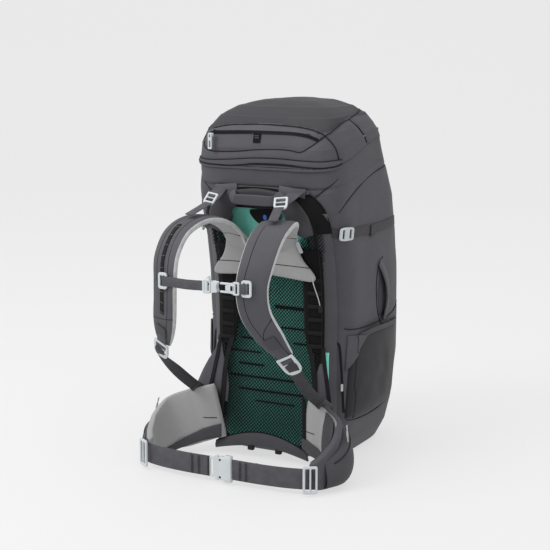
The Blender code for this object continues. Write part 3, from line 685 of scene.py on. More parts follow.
def inset(loop, distance, hole=False):
    """A closed loop moved in by a distance, or out for a hole, so that its rounded edge ends on the loop."""
    p = np.array(loop, float)
    area = np.sum(p[:, 0] * np.roll(p[:, 1], -1) - np.roll(p[:, 0], -1) * p[:, 1])
    if (area > 0) == hole:
        p = p[::-1]
    along = np.roll(p, -1, axis=0) - np.roll(p, 1, axis=0)
    along /= np.maximum(1e-9, np.linalg.norm(along, axis=1))[:, None]
    moved = p + np.column_stack([-along[:, 1], along[:, 0]]) * distance
    start, step = p, np.roll(p, -1, axis=0) - p
    kept = []
    for v in moved:
        share = np.clip(np.sum((v - start) * step, axis=1) / np.maximum(1e-12, np.sum(step * step, axis=1)),
                        0, 1)
        if np.min(np.linalg.norm(start + step * share[:, None] - v, axis=1)) > 0.93 * distance:
            kept.append(tuple(v))
    return kept


def plate(name, outline, thickness, mat, place, across, out, holes=(), edge=0.0008):
    """A flat moulded or padded part: outline points (across, up), cut by holes, its edges rounded."""
    curve = bpy.data.curves.new(name, "CURVE")
    curve.dimensions, curve.fill_mode = "2D", "BOTH"
    curve.extrude = max(0.0, thickness / 2 - edge)
    curve.bevel_depth, curve.bevel_resolution = edge, 2
    for loop in (inset(outline, edge), *(inset(hole, edge, True) for hole in holes)):
        spline = curve.splines.new("POLY")
        spline.points.add(len(loop) - 1)
        for point, (u, v) in zip(spline.points, loop):
            point.co = (u, v, 0, 1)
        spline.use_cyclic_u = True
    holder = bpy.data.objects.new(name, curve)
    bpy.context.scene.collection.objects.link(holder)
    bpy.context.view_layer.update()
    mesh = bpy.data.meshes.new_from_object(holder.evaluated_get(bpy.context.evaluated_depsgraph_get()))
    bpy.data.objects.remove(holder)
    a, n = Vector(across).normalized(), Vector(out).normalized()
    n = (n - a * a.dot(n)).normalized()
    up = n.cross(a)
    mesh.transform(Matrix(((a.x, up.x, n.x, place[0]), (a.y, up.y, n.y, place[1]),
                           (a.z, up.z, n.z, place[2]), (0, 0, 0, 1))))
    obj = new_object(name, mesh, mat)
    obj.data.shade_smooth()
    obj.data.set_sharp_from_angle(angle=math.radians(40))
    return obj


def rounded(width, height, radius, centre=(0, 0)):
    """The outline of a rectangle with rounded corners."""
    points, steps = [], 5
    for cx, cy, start in ((1, 1, 0), (-1, 1, 90), (-1, -1, 180), (1, -1, 270)):
        for k in range(steps + 1):
            a = math.radians(start + 90 * k / steps)
            x = cx * (width / 2 - radius) + radius * math.cos(a)
            y = cy * (height / 2 - radius) + radius * math.sin(a)
            points.append((centre[0] + x, centre[1] + y))
    return points


def soft_outline(points, count):
    """A closed outline of count places, smooth through the points."""
    dense = catmull_rom(np.array([points[-1], *points, points[0], points[1]], float), 12)
    length = lengths_along(dense)
    wanted = np.linspace(0, length[-1], count, endpoint=False)
    return list(zip(np.interp(wanted, length, dense[:, 0]), np.interp(wanted, length, dense[:, 1])))


def surface(name, rows, mat, thickness, outward=(0, -1, 0)):
    """A sewn panel from rows of points, given a thickness behind its face."""
    columns = len(rows[0])
    points = [tuple(p) for row in rows for p in row]
    faces = grid_faces(len(rows), columns)
    obj = mesh_object(name, points, faces, mat, uvs=[(p[0], p[2]) for p in points])
    middle = obj.data.polygons[len(faces) // 2]
    if middle.normal.dot(Vector(outward)) < 0:
        obj.data.flip_normals()
    return modify(obj, "SOLIDIFY", thickness=thickness, offset=-1)


def ladder_lock(name, place, across, out, width, height, webbing):
    """A webbing adjuster: an open frame with two slots, a cross bar and a tail."""
    w, h = width / 2, height / 2
    right = [(w - 0.001, h), (w, h - 0.002), (w, -h * 0.35), (w * 0.72, -h * 0.86), (w * 0.3, -h)]
    outline = [(-w + 0.001, h), *right, *mirror(right[:0:-1])]
    slot = min(webbing, width - 0.006)
    holes = (rounded(slot, h * 0.50, 0.0012, (0, h * 0.52)), rounded(slot, h * 0.46, 0.0012, (0, -h * 0.12)))
    return plate(name, soft_outline(outline, 60), 0.0042, "pale", place, across, out, holes=holes,
                 edge=0.0011)


FRAME_PROFILE = ((0.0, -0.180), (0.10, -0.172), (0.20, -0.161), (0.30, -0.155), (0.40, -0.160),
                 (0.48, -0.176), (0.55, -0.200), (0.60, -0.205))
frame_curve = smooth_curve(FRAME_PROFILE, 200)


def frame_y(z):
    return float(np.interp(z, frame_curve[:, 0], frame_curve[:, 1]))


def net_y(x, z):
    return frame_y(z) - 0.0025 + 0.012 * max(0.0, 1 - (x / 0.108) ** 2)


# ------------------------------------------------------------------ back panel


def back_sheet():
    rows = []
    for z in np.linspace(0.03, 0.555, 64):
        half = float(np.interp(z, (0.03, 0.40, 0.44, 0.53), (0.120, 0.122, 0.140, 0.140)))
        rows.append([(x, BAG.front(x, z)[0][1] - 0.0032, z) for x in np.linspace(-half, half, 30)])
    # The back sheet's teal is painted darker towards its foot: painted shade.
    finish_piece(surface("teal_back_sheet", rows, "teal_deep", 0.0015), "pack", "teal_fabric", "back_sheet")
    rows = []
    for z in np.linspace(0.452, 0.568, 20):
        rows.append([(x, frame_y(z) + 0.0075 + 0.006 * (1 - (x / 0.098) ** 2), z)
                     for x in np.linspace(-0.098, 0.098, 20)])
    finish_piece(surface("teal_top_panel", rows, "teal", 0.0012), "pack", "teal_fabric")


SLOTS = ((0.333, 0.005, 0.086, 0.007), (0.288, 0.020, 0.086, 0.004), (0.257, -0.078, -0.030, 0.004),
         (0.256, 0.050, 0.088, 0.004), (0.227, -0.105, -0.030, 0.0035), (0.199, -0.085, -0.022, 0.0045),
         (0.171, -0.106, 0.052, 0.0045), (0.142, -0.084, 0.074, 0.0045), (0.118, -0.043, 0.053, 0.0035))


def back_slots():
    parts = []
    for z, x0, x1, height in SLOTS:
        path = [(x, BAG.front(x, z)[0][1] - 0.0052, z) for x in np.linspace(x0, x1, 14)]
        parts.append(ribbon_part(path, (0, -1.0, 0), height, 0.0012))
    finish_piece(join_parts("back_slots", parts, ["black"]), "pack", "black_fabric")


NET_PITCH, NET_ROW, PANEL_SHIFT = 0.0078, 0.0040, 0.008


def net_half(z):
    return float(np.interp(z, (0.030, 0.42, 0.455, 0.50, 0.530), (0.118, 0.122, 0.132, 0.134, 0.128)))


def net_low(x):
    return 0.034 + 0.014 * max(0.0, 1 - (x / 0.10) ** 2)


def net_top(x):
    return 0.472 + 0.062 * min(1.0, max(0.0, (abs(x) - 0.070) / 0.035))


NET_HOLE = (0.00205, 0.00235)  # half the width and height of one hole


def suspended_net():
    """One layer of open knit, drawn as real holes: staggered ovals in diamond cells."""
    points, faces, index = [], [], {}

    def vertex(x, z):
        key = (round(x * 1e5), round(z * 1e5))
        if key not in index:
            index[key] = len(points)
            points.append((x + PANEL_SHIFT, net_y(x, z), z))
        return index[key]

    hole_w, hole_h = NET_HOLE
    rows = int((0.532 - 0.030) / NET_ROW)
    for j in range(rows + 1):
        z = 0.030 + j * NET_ROW
        shift = (j % 2) * NET_PITCH / 2
        for i in range(-18, 19):
            x = i * NET_PITCH + shift
            if abs(x) > net_half(z) or z < net_low(x) or z > net_top(x):
                continue
            outer, inner = [], []
            for k in range(8):
                a = math.pi / 4 * k
                c, s = math.cos(a), math.sin(a)
                scale = 1 / (abs(c) + abs(s))
                outer.append(vertex(x + c * scale * NET_PITCH / 2, z + s * scale * NET_ROW))
                inner.append(vertex(x + c * hole_w, z + s * hole_h))
            for k in range(8):
                m = (k + 1) % 8
                faces.append((outer[k], outer[m], inner[m], inner[k]))
    net = mesh_object("suspended_net", points, faces, "net", smooth=False)
    finish_piece(net, "pack", "stretch_mesh", "suspended_mesh")


def band_edges(z):
    """How far the wide black band reaches, inner and outer, at this height."""
    inner = float(np.interp(z, (0.222, 0.255, 0.30, 0.52), (0.1035, 0.088, 0.080, 0.078)))
    return inner, 0.126


FIN_ROOTS = {  # inner edge, height and outer edge of the cloth at a hip wing's root
    "right": ((0.101, 0.118, 0.158), (0.100, 0.150, 0.1455), (0.104, 0.180, 0.1400), (0.112, 0.205, 0.1345),
              (0.119, 0.226, 0.125)),
    "left": ((0.101, 0.118, 0.188), (0.100, 0.150, 0.186), (0.104, 0.180, 0.172), (0.112, 0.205, 0.157),
             (0.119, 0.228, 0.140), (0.122, 0.250, 0.130)),
}
TEAL_GUSSET = ((0.126, 0.25, 0.1365), (0.1285, 0.23, 0.1365), (0.134, 0.205, 0.1375), (0.1365, 0.19, 0.138))
LOW_BINDING = ((0.093, 0.262), (0.101, 0.235), (0.107, 0.205), (0.1105, 0.170), (0.1115, 0.13), (0.114, 0.08),
               (0.119, 0.035))
ROOT_BINDING = ((0.125, 0.262), (0.130, 0.225), (0.137, 0.190), (0.146, 0.145))


def side_bands():
    for side, label in SIDES:
        band_cover(side, label)
        band_bindings(side, label)
        band_rungs(side, label)
        band_gussets(side, label)


def band_cover(side, label):
    rows = []
    for z in np.linspace(0.247, 0.470, 60):
        inner, outer = band_edges(z)
        rows.append([(side * x + PANEL_SHIFT, frame_y(z) - 0.0078 + 0.0045
                      * ((x - inner) / (outer - inner)) ** 3, z) for x in np.linspace(inner, outer, 7)])
    cover = surface(f"side_band_cover_{label}", rows, "black", 0.0016)
    finish_piece(cover, "pack", "black_fabric", f"side_band_{label}")


def band_bindings(side, label):
    for name, line, lift, count, normal, width, thickness in (
            ("low_binding", LOW_BINDING, 0.0085, 40, (0, -1.0, 0.06), 0.011, 0.0022),
            ("root_binding", ROOT_BINDING, 0.006, 24, (side * 0.2, -1.0, 0), 0.009, 0.002)):
        path = smooth_curve([(side * x + PANEL_SHIFT, frame_y(z) - lift, z) for x, z in line], count)
        strip = ribbon(f"{name}_{label}", path, normal, width, thickness, "black_web")
        finish_piece(strip, "pack", "black_fabric")


def band_rungs(side, label):
    """The ladder of loops that the harness hooks into, with a stitched line down each side."""
    parts = []
    for z in np.arange(0.262, 0.405, 0.0285):
        y = frame_y(z) - 0.0078
        rung = [(side * x + PANEL_SHIFT, y - 0.0022 * arch(t) - 0.0004, z + 0.001 * t)
                for x, t in zip(np.linspace(0.090, 0.1235, 9), np.linspace(0, 1, 9))]
        parts.append(ribbon_part(rung, (0, -1.0, 0), 0.0085, 0.0012))
    for x in (0.0915, 0.1225):
        rail = [(side * x + PANEL_SHIFT, frame_y(z) - 0.0088, z) for z in np.linspace(0.252, 0.468, 30)]
        parts.append((*rope(rail, 0.0009), 0))
    finish_piece(join_parts(f"band_rungs_{label}", parts, ["black_web"]), "pack", "webbing")


def band_gussets(side, label):
    rows = []
    for a, z, b in TEAL_GUSSET:
        rows.append([(side * (a + (b - a) * t) + PANEL_SHIFT, frame_y(z) - 0.0035 + 0.004 * t, z)
                     for t in np.linspace(0, 1, 4)])
    finish_piece(surface(f"teal_gusset_{label}", rows, "teal_lit", 0.001), "pack", "teal_fabric")
    rows = []
    for a, z, b in FIN_ROOTS[label]:
        across = [a + (b - a) * t for t in np.linspace(0, 1, 9)]
        rows.append([(side * x + PANEL_SHIFT, frame_y(z) - 0.0062 + 0.006 * max(0.0, (x - 0.13) / 0.03), z)
                     for x in across])
    finish_piece(surface(f"fin_root_{label}", rows, "body", 0.0018), "pack", "pack_fabric")


def side_wings():
    """The stretch gussets between the frame and the bag's front corners."""
    inner, reach = 0.110, 0.150
    for side, label in SIDES:
        rows = []
        for z in np.linspace(0.055, 0.548, 60):
            corner_y = float(np.interp(z, (0.40, 0.48, 0.545, 0.6), (-0.118, -0.138, -0.155, -0.160)))
            outer = min(abs(BAG.side(side, corner_y, z)[0][0]) - 0.004, reach)
            start, end = frame_y(z) - 0.001, BAG.front(side * outer, z)[0][1] - 0.001
            rows.append([(side * (inner + (outer - inner) * t), start + (end - start) * t - 0.004 * arch(t),
                          z) for t in np.linspace(0, 1, 9)])
        wing = surface(f"side_gusset_{label}", rows, "body", 0.0015, (side * 0.5, -1, 0))
        finish_piece(wing, "pack", "stretch_mesh", f"side_wing_{label}")


def between(near, far, steps, depth):
    """Rows of points from one outline (x, z) to another, at the y that depth(x, z, share) gives."""
    rows = []
    for (a, za), (b, zb) in zip(near, far):
        places = [(a + (b - a) * t, za + (zb - za) * t, t) for t in np.linspace(0, 1, steps)]
        rows.append([(x, depth(x, z, t), z) for x, z, t in places])
    return rows


PANEL_INNER = ((0.046, 0.560), (0.061, 0.547), (0.063, 0.530), (0.078, 0.508), (0.090, 0.500), (0.100, 0.496))
PANEL_OUTER = ((0.060, 0.590), (0.092, 0.577), (0.108, 0.560), (0.120, 0.540), (0.124, 0.520), (0.124, 0.505))
EDGING_NEAR = ((0.088, 0.580), (0.100, 0.570), (0.112, 0.556), (0.120, 0.540), (0.123, 0.520), (0.123, 0.505))
EDGING_FAR = ((0.100, 0.592), (0.124, 0.578), (0.139, 0.560), (0.1465, 0.538), (0.149, 0.520), (0.149, 0.505))
MIDDLE_LOW = ((-0.046, 0.560), (-0.030, 0.563), (0, 0.566), (0.030, 0.563), (0.046, 0.560))
MIDDLE_TOP = ((-0.060, 0.590), (0, 0.596), (0.060, 0.590))


def top_panels():
    """The smooth fabric over the top of the frame, with the black mesh edging round its corners."""
    for side, label in SIDES:
        inner, outer = (smooth_curve(line, 24) * (side, 1) for line in (PANEL_INNER, PANEL_OUTER))
        near, far = (smooth_curve(line, 24) * (side, 1) for line in (EDGING_NEAR, EDGING_FAR))
        rows = between(inner, outer, 9, lambda x, z, t: frame_y(z) - 0.0075 - 0.002 * arch(t))
        finish_piece(surface(f"top_panel_{label}", rows, "body_dark", 0.002), "pack", "pack_fabric")
        rows = []
        for start, stop in zip(near, far):
            rim = BAG.front(*stop)[0][1] - 0.0015
            rows += between([start], [stop], 8, lambda x, z, t: frame_y(z) - 0.0080
                            + (rim - frame_y(z) + 0.0080) * t**1.3)
        edging = surface(f"top_edging_{label}", rows, "black", 0.002, (side * 0.5, -1, 0))
        finish_piece(edging, "pack", "stretch_mesh")
        trim = [(x, y - 0.0008, z) for x, y, z in (row[-1] for row in rows)]
        finish_piece(tube(f"edging_trim_{label}", trim, 0.0012, "black"), "pack", "black_fabric")
    # The recessed middle strip is in the darker shade fabric: painted shade.
    rows = between(smooth_curve(MIDDLE_LOW, 24), smooth_curve(MIDDLE_TOP, 24), 5, lambda x, z,
                   t: frame_y(z) - 0.0045)
    finish_piece(surface("top_panel_middle", rows, "body_deep", 0.0015), "pack", "pack_fabric")


def hydration_patch():
    outline = soft_outline([(-0.026, 0.547), (-0.008, 0.552), (0.014, 0.5535), (0.044, 0.546),
                            (0.040, 0.526), (0.022, 0.514), (0.004, 0.512), (-0.016, 0.527)], 60)
    middle = (PANEL_SHIFT, frame_y(0.535) + 0.0035, 0.535)
    tilt = (0, -1.0, -0.30)
    patch = plate("hydration_patch", [(x - middle[0], z - middle[2]) for x, z in outline], 0.0016, "black",
                  middle, (1, 0, 0), tilt, edge=0.0005)
    finish_piece(patch, "pack", "black_fabric")
    dot = plate("blue_dot", rounded(0.0085, 0.0115, 0.0042), 0.0008, "blue",
                (0.0105, middle[1] - 0.0016, 0.5345), (1, 0, 0), tilt, edge=0.0002)
    finish_piece(dot, "pack", "teal_fabric")


def lumbar_arch():
    rows = []
    for x in np.linspace(-0.116, 0.112, 50):
        top = 0.060 - 0.044 * (abs(x) / 0.135) ** 1.9
        low = 0.0300 - 0.022 * (abs(x) / 0.128) ** 1.6
        row = []
        for t in np.linspace(0, 1, 9):
            z = low + (top - low) * t
            row.append((x - 0.004, frame_y(z) - 0.0030 - 0.0035 * arch(t), z))
        rows.append(row)
    finish_piece(surface("lumbar_cover", rows, "body_dark", 0.004), "pack", "pack_fabric", "lumbar_band")
    finish_piece(tube("lumbar_piping", [rows[i][-1] for i in range(50)], 0.0014, "black"), "pack",
                 "black_fabric")
    for side, label in SIDES:
        foot = plate(f"frame_foot_{label}", rounded(0.015, 0.010, 0.003), 0.008, "black_plastic",
                     (side * 0.034, frame_y(0.02) + 0.002, 0.0215), (1, 0, 0), (0, -1, 0), edge=0.002)
        finish_piece(foot, "pack", "black_plastic")


def top_handle():
    """A flat padded grab loop hanging from two sewn tabs, with a black strip above it as painted shadow in
    the gap.
    """
    points = [(-0.058, -0.2075, 0.590), (-0.056, -0.2135, 0.5840), (-0.050, -0.2215, 0.5760),
              (-0.040, -0.2260, 0.5735), (0, -0.2275, 0.5735), (0.040, -0.2260, 0.5735),
              (0.050, -0.2215, 0.5760), (0.056, -0.2135, 0.5840), (0.058, -0.2075, 0.590)]
    path = smooth_curve(points, 60)
    width = 0.013 + 0.010 * np.sin(np.linspace(0, math.pi, 60)) ** 0.35
    handle = ribbon("grab_handle", path, (0, -1.0, -0.15), width, 0.0050, "body", lift=-0.003)
    finish_piece(handle, "top_handle", "webbing", "top_handle")
    modify(handle, "SUBSURF", levels=1, render_levels=1)
    for side, label in SIDES:
        tab = smooth_curve([(side * 0.050, -0.2035, 0.5935), (side * 0.066, -0.2050, 0.592),
                            (side * 0.084, -0.2045, 0.590), (side * 0.106, -0.1955, 0.588)], 20)
        finish_piece(ribbon(f"handle_tab_{label}", tab, (0, -1.0, 0.1), 0.022, 0.003, "body"), "pack",
                     "webbing")
    yoke = smooth_curve([(-0.112, -0.1905, 0.592), (-0.05, -0.2000, 0.595), (0, -0.2010, 0.5955),
                         (0.05, -0.2000, 0.595), (0.112, -0.1905, 0.592)], 40)
    # A black strip in the gap above the handle: painted shadow.
    gap = smooth_curve([(-0.060, -0.1985, 0.583), (-0.045, -0.2015, 0.5895), (0, -0.2040, 0.5915),
                        (0.045, -0.2015, 0.5895), (0.060, -0.1985, 0.583)], 40)
    finish_piece(ribbon("handle_gap_painted_shadow", gap, (0, -1.0, 0.1), 0.0140, 0.0030, "black"), "pack", "webbing")
    finish_piece(ribbon("handle_band", yoke, (0, -1.0, 0.1), 0.009, 0.002, "body"), "pack", "webbing")


# ------------------------------------------------------------------ side pockets, straps and handle


def side_cloth(name, low_z, top_z, y_front, y_rear, side, mat, bulge, thickness, columns, rows_count,
               lift=0.0012):
    """A panel lying on the bag's side, standing off it by bulge(t, s)."""
    rows = []
    for s in np.linspace(0, 1, rows_count):
        row = []
        for t in np.linspace(0, 1, columns):
            y = y_front(s) + (y_rear - y_front(s)) * t
            z = low_z(t) + (top_z(t) - low_z(t)) * s
            place, normal = on_side(side, y, z)
            row.append(place + normal * (lift + bulge(t, s)))
        rows.append(row)
    return surface(name, rows, mat, thickness, (side, 0, 0))


def on_side(side, y, z):
    """A place on the bag's side by how far round it is: past the corners the ray comes at an angle."""
    if y > 0.10:
        turn = math.radians(min(60.0, (y - 0.10) * 900))
        centre = Vector((side * 0.10, 0.09, z))
        direction = Vector((side * math.cos(turn), math.sin(turn), 0))
        return BAG.cast(centre + direction * 0.4, -direction)
    if y < -0.095:
        turn = math.radians(min(75.0, (-0.095 - y) * 1500))
        centre = Vector((side * 0.13, -0.085, z))
        direction = Vector((side * math.cos(turn), -math.sin(turn), 0))
        return BAG.cast(centre + direction * 0.4, -direction)
    return BAG.side(side, y, z)


POCKET_FRONT, POCKET_REAR, HEM_FRONT = -0.124, 0.135, -0.106
CORNER_ZIP = ((0.146, -0.152, 0.270), (0.1545, -0.137, 0.264), (0.157, -0.130, 0.250), (0.159, -0.128, 0.217),
              (0.161, -0.124, 0.175), (0.162, -0.122, 0.142), (0.163, -0.119, 0.112))


def pocket_top(t):
    return float(np.interp(t, (0, 0.12, 0.35, 0.55, 0.8, 1), (0.262, 0.276, 0.2795, 0.2775, 0.276, 0.272)))


def pocket_low(t):
    return float(np.interp(t, (0, 0.25, 0.5, 1), (0.098, 0.090, 0.088, 0.092)))


def pocket_bulge(t, s):
    """How far the pocket stands off the bag, with slow folds in it."""
    round_off = arch(min(1, max(0, t))) ** (1.0 if t < 0.5 else 0.7) * min(1, (s * 6 + 0.04)) ** 0.6
    folds = 0.22 * arch(s) * noise.noise(Vector((t * 6.0 + s * 2.0, s * 4.0, 3.0)))
    return 0.0128 * round_off * (0.80 + 0.20 * s + folds)


def side_pockets():
    for side, label in SIDES:
        pocket = side_cloth(f"stretch_pocket_{label}", pocket_low, pocket_top, lambda s: POCKET_FRONT
                            + 0.008 * s, POCKET_REAR, side, "stretch", pocket_bulge, 0.0018, 40, 26, 0.0004)
        finish_piece(pocket, "pack", "stretch_mesh", f"side_pocket_{label}")
        path, normals = [], []
        for t in np.linspace(0, 1, 60):
            place, normal = on_side(side, HEM_FRONT + (POCKET_REAR - HEM_FRONT) * t, pocket_top(t))
            path.append(place + normal * (0.0014 + pocket_bulge(t, 1.0)))
            normals.append(normal)
        hem = ribbon(f"pocket_hem_{label}", path, normals, 0.011, 0.0018, "body_dark", lift=-0.001)
        finish_piece(hem, "pack", "stretch_mesh")
        corner = side_cloth(f"pocket_corner_{label}", lambda t: 0.262 - 0.060 * (1 - t) ** 1.4 + 0.012 * t,
                            lambda t: 0.281 - 0.006 * t, lambda s: -0.125 + 0.004 * s, -0.056, side, "body",
                            lambda t, s: 0.0022 + 0.0090 * t, 0.0012, 16, 10)
        finish_piece(corner, "pack", "pack_fabric")
        path, normals = BAG.lay(CORNER_ZIP if side > 0 else mirror(CORNER_ZIP), 50)
        finish_piece(ribbon(f"corner_zip_{label}", path, normals, 0.0050, 0.0016, "black_web"), "pack",
                     "black_plastic")
        place, normal = BAG.nearest((side * 0.161, -0.126, 0.168))
        tab = plate(f"corner_zip_tab_{label}", rounded(0.0055, 0.016, 0.002), 0.002, "pale",
                    place + normal * 0.0025, np.cross(normal, (0, 0, 1.0)), normal, edge=0.0006)
        finish_piece(tab, "pack", "pale_plastic")


SIDE_BUCKLE = ((-0.017, 0.0120), (-0.006, 0.0142), (0.008, 0.0142), (0.017, 0.011), (0.0178, 0),
               (0.017, -0.011), (0.008, -0.0142), (-0.006, -0.0142), (-0.017, -0.0120), (-0.018, 0))


def side_straps():
    for side, label in SIDES:
        path, normals = [], []
        for y in np.linspace(-0.176, 0.125, 70):
            z = np.interp(y, (-0.18, -0.12, -0.05, 0.03, 0.13), (0.5035, 0.503, 0.501, 0.499, 0.502))
            if y < -0.135:
                place, normal = BAG.nearest((side * (0.150 + 0.02 * (y + 0.176) / 0.041), y, z))
            else:
                place, normal = on_side(side, y, z)
            path.append(place)
            normals.append(normal)
        strap = ribbon(f"compression_strap_{label}", smoothed(np.array(path), 7),
                       smoothed(np.array(normals), 7), 0.0205, 0.0018, "webbing_dark", lift=0.0006)
        finish_piece(strap, "pack", "webbing", f"side_strap_{label}")
        place, normal = BAG.nearest((side * 0.176, -0.140, 0.503))
        along = np.cross(normal, (0, 0, 1.0))
        holes = [rounded(0.0052, 0.0195, 0.0012, (x, 0)) for x in (-0.0095, 0.0085)]
        buckle = plate(f"side_buckle_{label}_frame", soft_outline(SIDE_BUCKLE, 60), 0.0048, "pale",
                       place + normal * 0.0062, along, normal, edge=0.0014, holes=holes)
        finish_piece(buckle, "pack", "pale_plastic", f"side_buckle_{label}")
        keep, normal = on_side(side, -0.020, 0.4965)
        sleeve = plate(f"strap_keeper_{label}", rounded(0.026, 0.024, 0.0015), 0.0036, "webbing_dark",
                       keep + normal * 0.0036, (0, 1, 0), normal, edge=0.0012)
        finish_piece(sleeve, "pack", "webbing")


def side_grab_handle():
    line = smooth_curve([(0.032, 0.421, 0.0), (0.046, 0.402, 0.0025), (0.060, 0.376, 0.0045),
                         (0.067, 0.347, 0.0050), (0.065, 0.318, 0.0045), (0.056, 0.290, 0.002)], 40)
    path, normals = [], []
    for y, z, lift in line:
        place, normal = BAG.side(1, y - 0.012, z)
        path.append(place + normal * (lift + 0.0006))
        normals.append(normal + np.array((0, 0.25, 0)))
    handle = ribbon("side_grab", path, normals, (0.022, 0.026, 0.028, 0.028, 0.027, 0.024), 0.0032, "body")
    finish_piece(handle, "side_handle", "pack_fabric", "side_handle")
    groove = smooth_curve([(0.040, 0.430), (0.020, 0.416), (0.008, 0.388), (0.008, 0.350), (0.016, 0.310),
                           (0.034, 0.284)], 40)
    laid = [BAG.side(1, y, z) for y, z in groove]
    finish_piece(ribbon("handle_seam", [p for p, _ in laid], [n for _, n in laid], 0.0028, 0.0010, "seam"),
                 "pack", "pack_fabric")
    # A patch of the darker shade fabric on the bag under the handle: painted shade.
    under = []
    for z in np.linspace(0.300, 0.412, 12):
        edge = float(np.interp(z, (0.300, 0.35, 0.412), (0.024, 0.014, 0.026)))
        under.append([BAG.side(1, y, z)[0] + (0.0007, 0, 0) for y in np.linspace(edge, 0.052, 6)])
    finish_piece(surface("handle_recess_painted_shade", under, "body_deep", 0.0006, (1, 0, 0)), "pack", "pack_fabric")
    place, normal = BAG.side(1, 0.052, 0.287)
    tab = plate("handle_foot", rounded(0.036, 0.018, 0.002), 0.0024, "body_dark", place + normal * 0.0014,
                (0, 1, -0.1), normal, edge=0.0008)
    finish_piece(tab, "pack", "pack_fabric")


# ------------------------------------------------------------------ lid details


def collar_roll():
    """The bag's fabric swelling out to meet the lid's rim, so that no step shows between them."""
    table = np.array(BAG_ROWS)
    rings = []
    for z, out in ((0.596, 0.0002), (0.604, 0.0005), (0.612, 0.0009), (0.620, 0.0014), (0.628, 0.0020),
                   (0.6345, 0.0026)):
        row = [z] + [float(np.interp(z, table[:, 0], table[:, k])) for k in range(1, 5)]
        found = [BAG.nearest(p) for p in ring_points(row, 40)]
        rings.append([place + normal * out for place, normal in found])
    rings.append(ring_points((0.6390, 0.27, 0.1722, 0.1902, 0.0690), 40))
    rings.append(ring_points((0.6392, 0.27, 0.1690, 0.1870, 0.0660), 40))
    obj = mesh_object("collar_roll", np.vstack(rings), grid_faces(len(rings), 160, ring=True), "body")
    modify(obj, "SOLIDIFY", thickness=0.0012, offset=-1)
    finish_piece(obj, "pack", "pack_fabric")


# The lower zip and the strips of cloth round it: the nominal foot and top of each, and its material
LOWER_FLAP = (("lower_flap_line", 0.6545, 0.6560, "seam"), ("lower_flap_top", 0.6450, 0.6540, "body"),
              ("lower_zip_tape", 0.6405, 0.6435, "black_web"), ("lower_flap", 0.6270, 0.6390, "body"),
              ("lower_flap_edge", 0.6250, 0.6265, "seam"))


def lid_details():
    path, normal = LID.lay([(-0.139, -0.176, 0.704), (-0.120, -0.181, 0.7065), (-0.091, -0.184, 0.708),
                            (-0.042, -0.184, 0.710), (0.013, -0.184, 0.711), (0.064, -0.184, 0.711),
                            (0.099, -0.184, 0.708), (0.127, -0.181, 0.700)], 70)
    finish_piece(ribbon("upper_zip_tape", path, normal, 0.0075, 0.0010, "black_web"), "lid",
                 "black_plastic", "lid_upper_zip")
    parts, shares, half_tooth = [], np.linspace(0, 1, 70), np.array((0, 0, 0.0015))
    for t in np.linspace(0, 1, 200):
        p, n = (np.array([np.interp(t, shares, column) for column in table.T]) for table in (path, normal))
        parts.append((*rope([p + n * 0.0010 - half_tooth, p + n * 0.0014, p + n * 0.0010 + half_tooth],
                            0.0004, 4), 0))
    finish_piece(join_parts("upper_zip_teeth", parts, ["black_plastic"]), "lid", "black_plastic")
    flap_low, fn = LID.lay([(-0.141, -0.176, 0.7085), (-0.091, -0.180, 0.7135), (-0.042, -0.180, 0.7155),
                            (0.013, -0.180, 0.7165), (0.064, -0.180, 0.7160), (0.099, -0.180, 0.7130),
                            (0.132, -0.178, 0.7045)], 70)
    finish_piece(ribbon("zip_flap", flap_low, fn, 0.0068, 0.0022, "body", lift=0.0002), "lid", "pack_fabric")
    for name, low, high, shade in LOWER_FLAP:
        z = (low + high) / 2
        pts = [(-0.164, -0.150, z - 0.002), (-0.150, -0.176, z - 0.004), (-0.126, -0.187, z - 0.005),
               (-0.075, -0.191, z - 0.002), (-0.014, -0.192, z + 0.003), (0.045, -0.191, z + 0.004),
               (0.091, -0.190, z + 0.002), (0.135, -0.184, z + 0.001), (0.155, -0.172, z + 0.003),
               (0.168, -0.150, z + 0.004)]
        path, normal = LID.lay(pts, 90)
        if name == "lower_zip_tape":
            tape = ribbon(name, path, normal, high - low, 0.0034, shade, lift=0.0004)
            finish_piece(tape, "pack", "pack_fabric", "lid_lower_zip")
        else:
            finish_piece(ribbon(name, path, normal, high - low, 0.0024, shade, lift=0.0004), "lid",
                         "pack_fabric")
    place, normal = LID.front(-0.0105, 0.6995)
    tag = plate("lid_tag", rounded(0.017, 0.021, 0.0015), 0.0016, "black", place + normal * 0.0014,
                (1, 0, 0), normal, edge=0.0004)
    finish_piece(tag, "lid", "pack_fabric")
    for k, (w, dz) in enumerate(((0.010, 0.004), (0.010, 0.0), (0.006, -0.004))):
        bar = plate(f"tag_bar_{k}", rounded(w, 0.0013, 0.0004), 0.0006, "thread", place + normal * 0.0024
                    + (0, 0, dz), (1, 0, 0), normal, edge=0.0001)
        finish_piece(bar, "lid", "pack_fabric")
    path = smooth_curve([(0, 0.0785, 0.7040), (0, 0.100, 0.6885), (0, 0.135, 0.660), (0, 0.170, 0.6285)], 40)
    finish_piece(ribbon("lid_rear_strap", path, (0, 0.7, 0.7), 0.020, 0.0018, "webbing", lift=-0.001),
                 "lid", "webbing", "lid_strap")


back_sheet()
back_slots()
suspended_net()
side_bands()
side_wings()
top_panels()
hydration_patch()
lumbar_arch()
top_handle()
side_pockets()
side_straps()
side_grab_handle()
collar_roll()
lid_details()

# ------------------------------------------------------------------ harness

OUTER, WALL, INNER = 0, 1, 2
PAD_CROWN = 0.0018


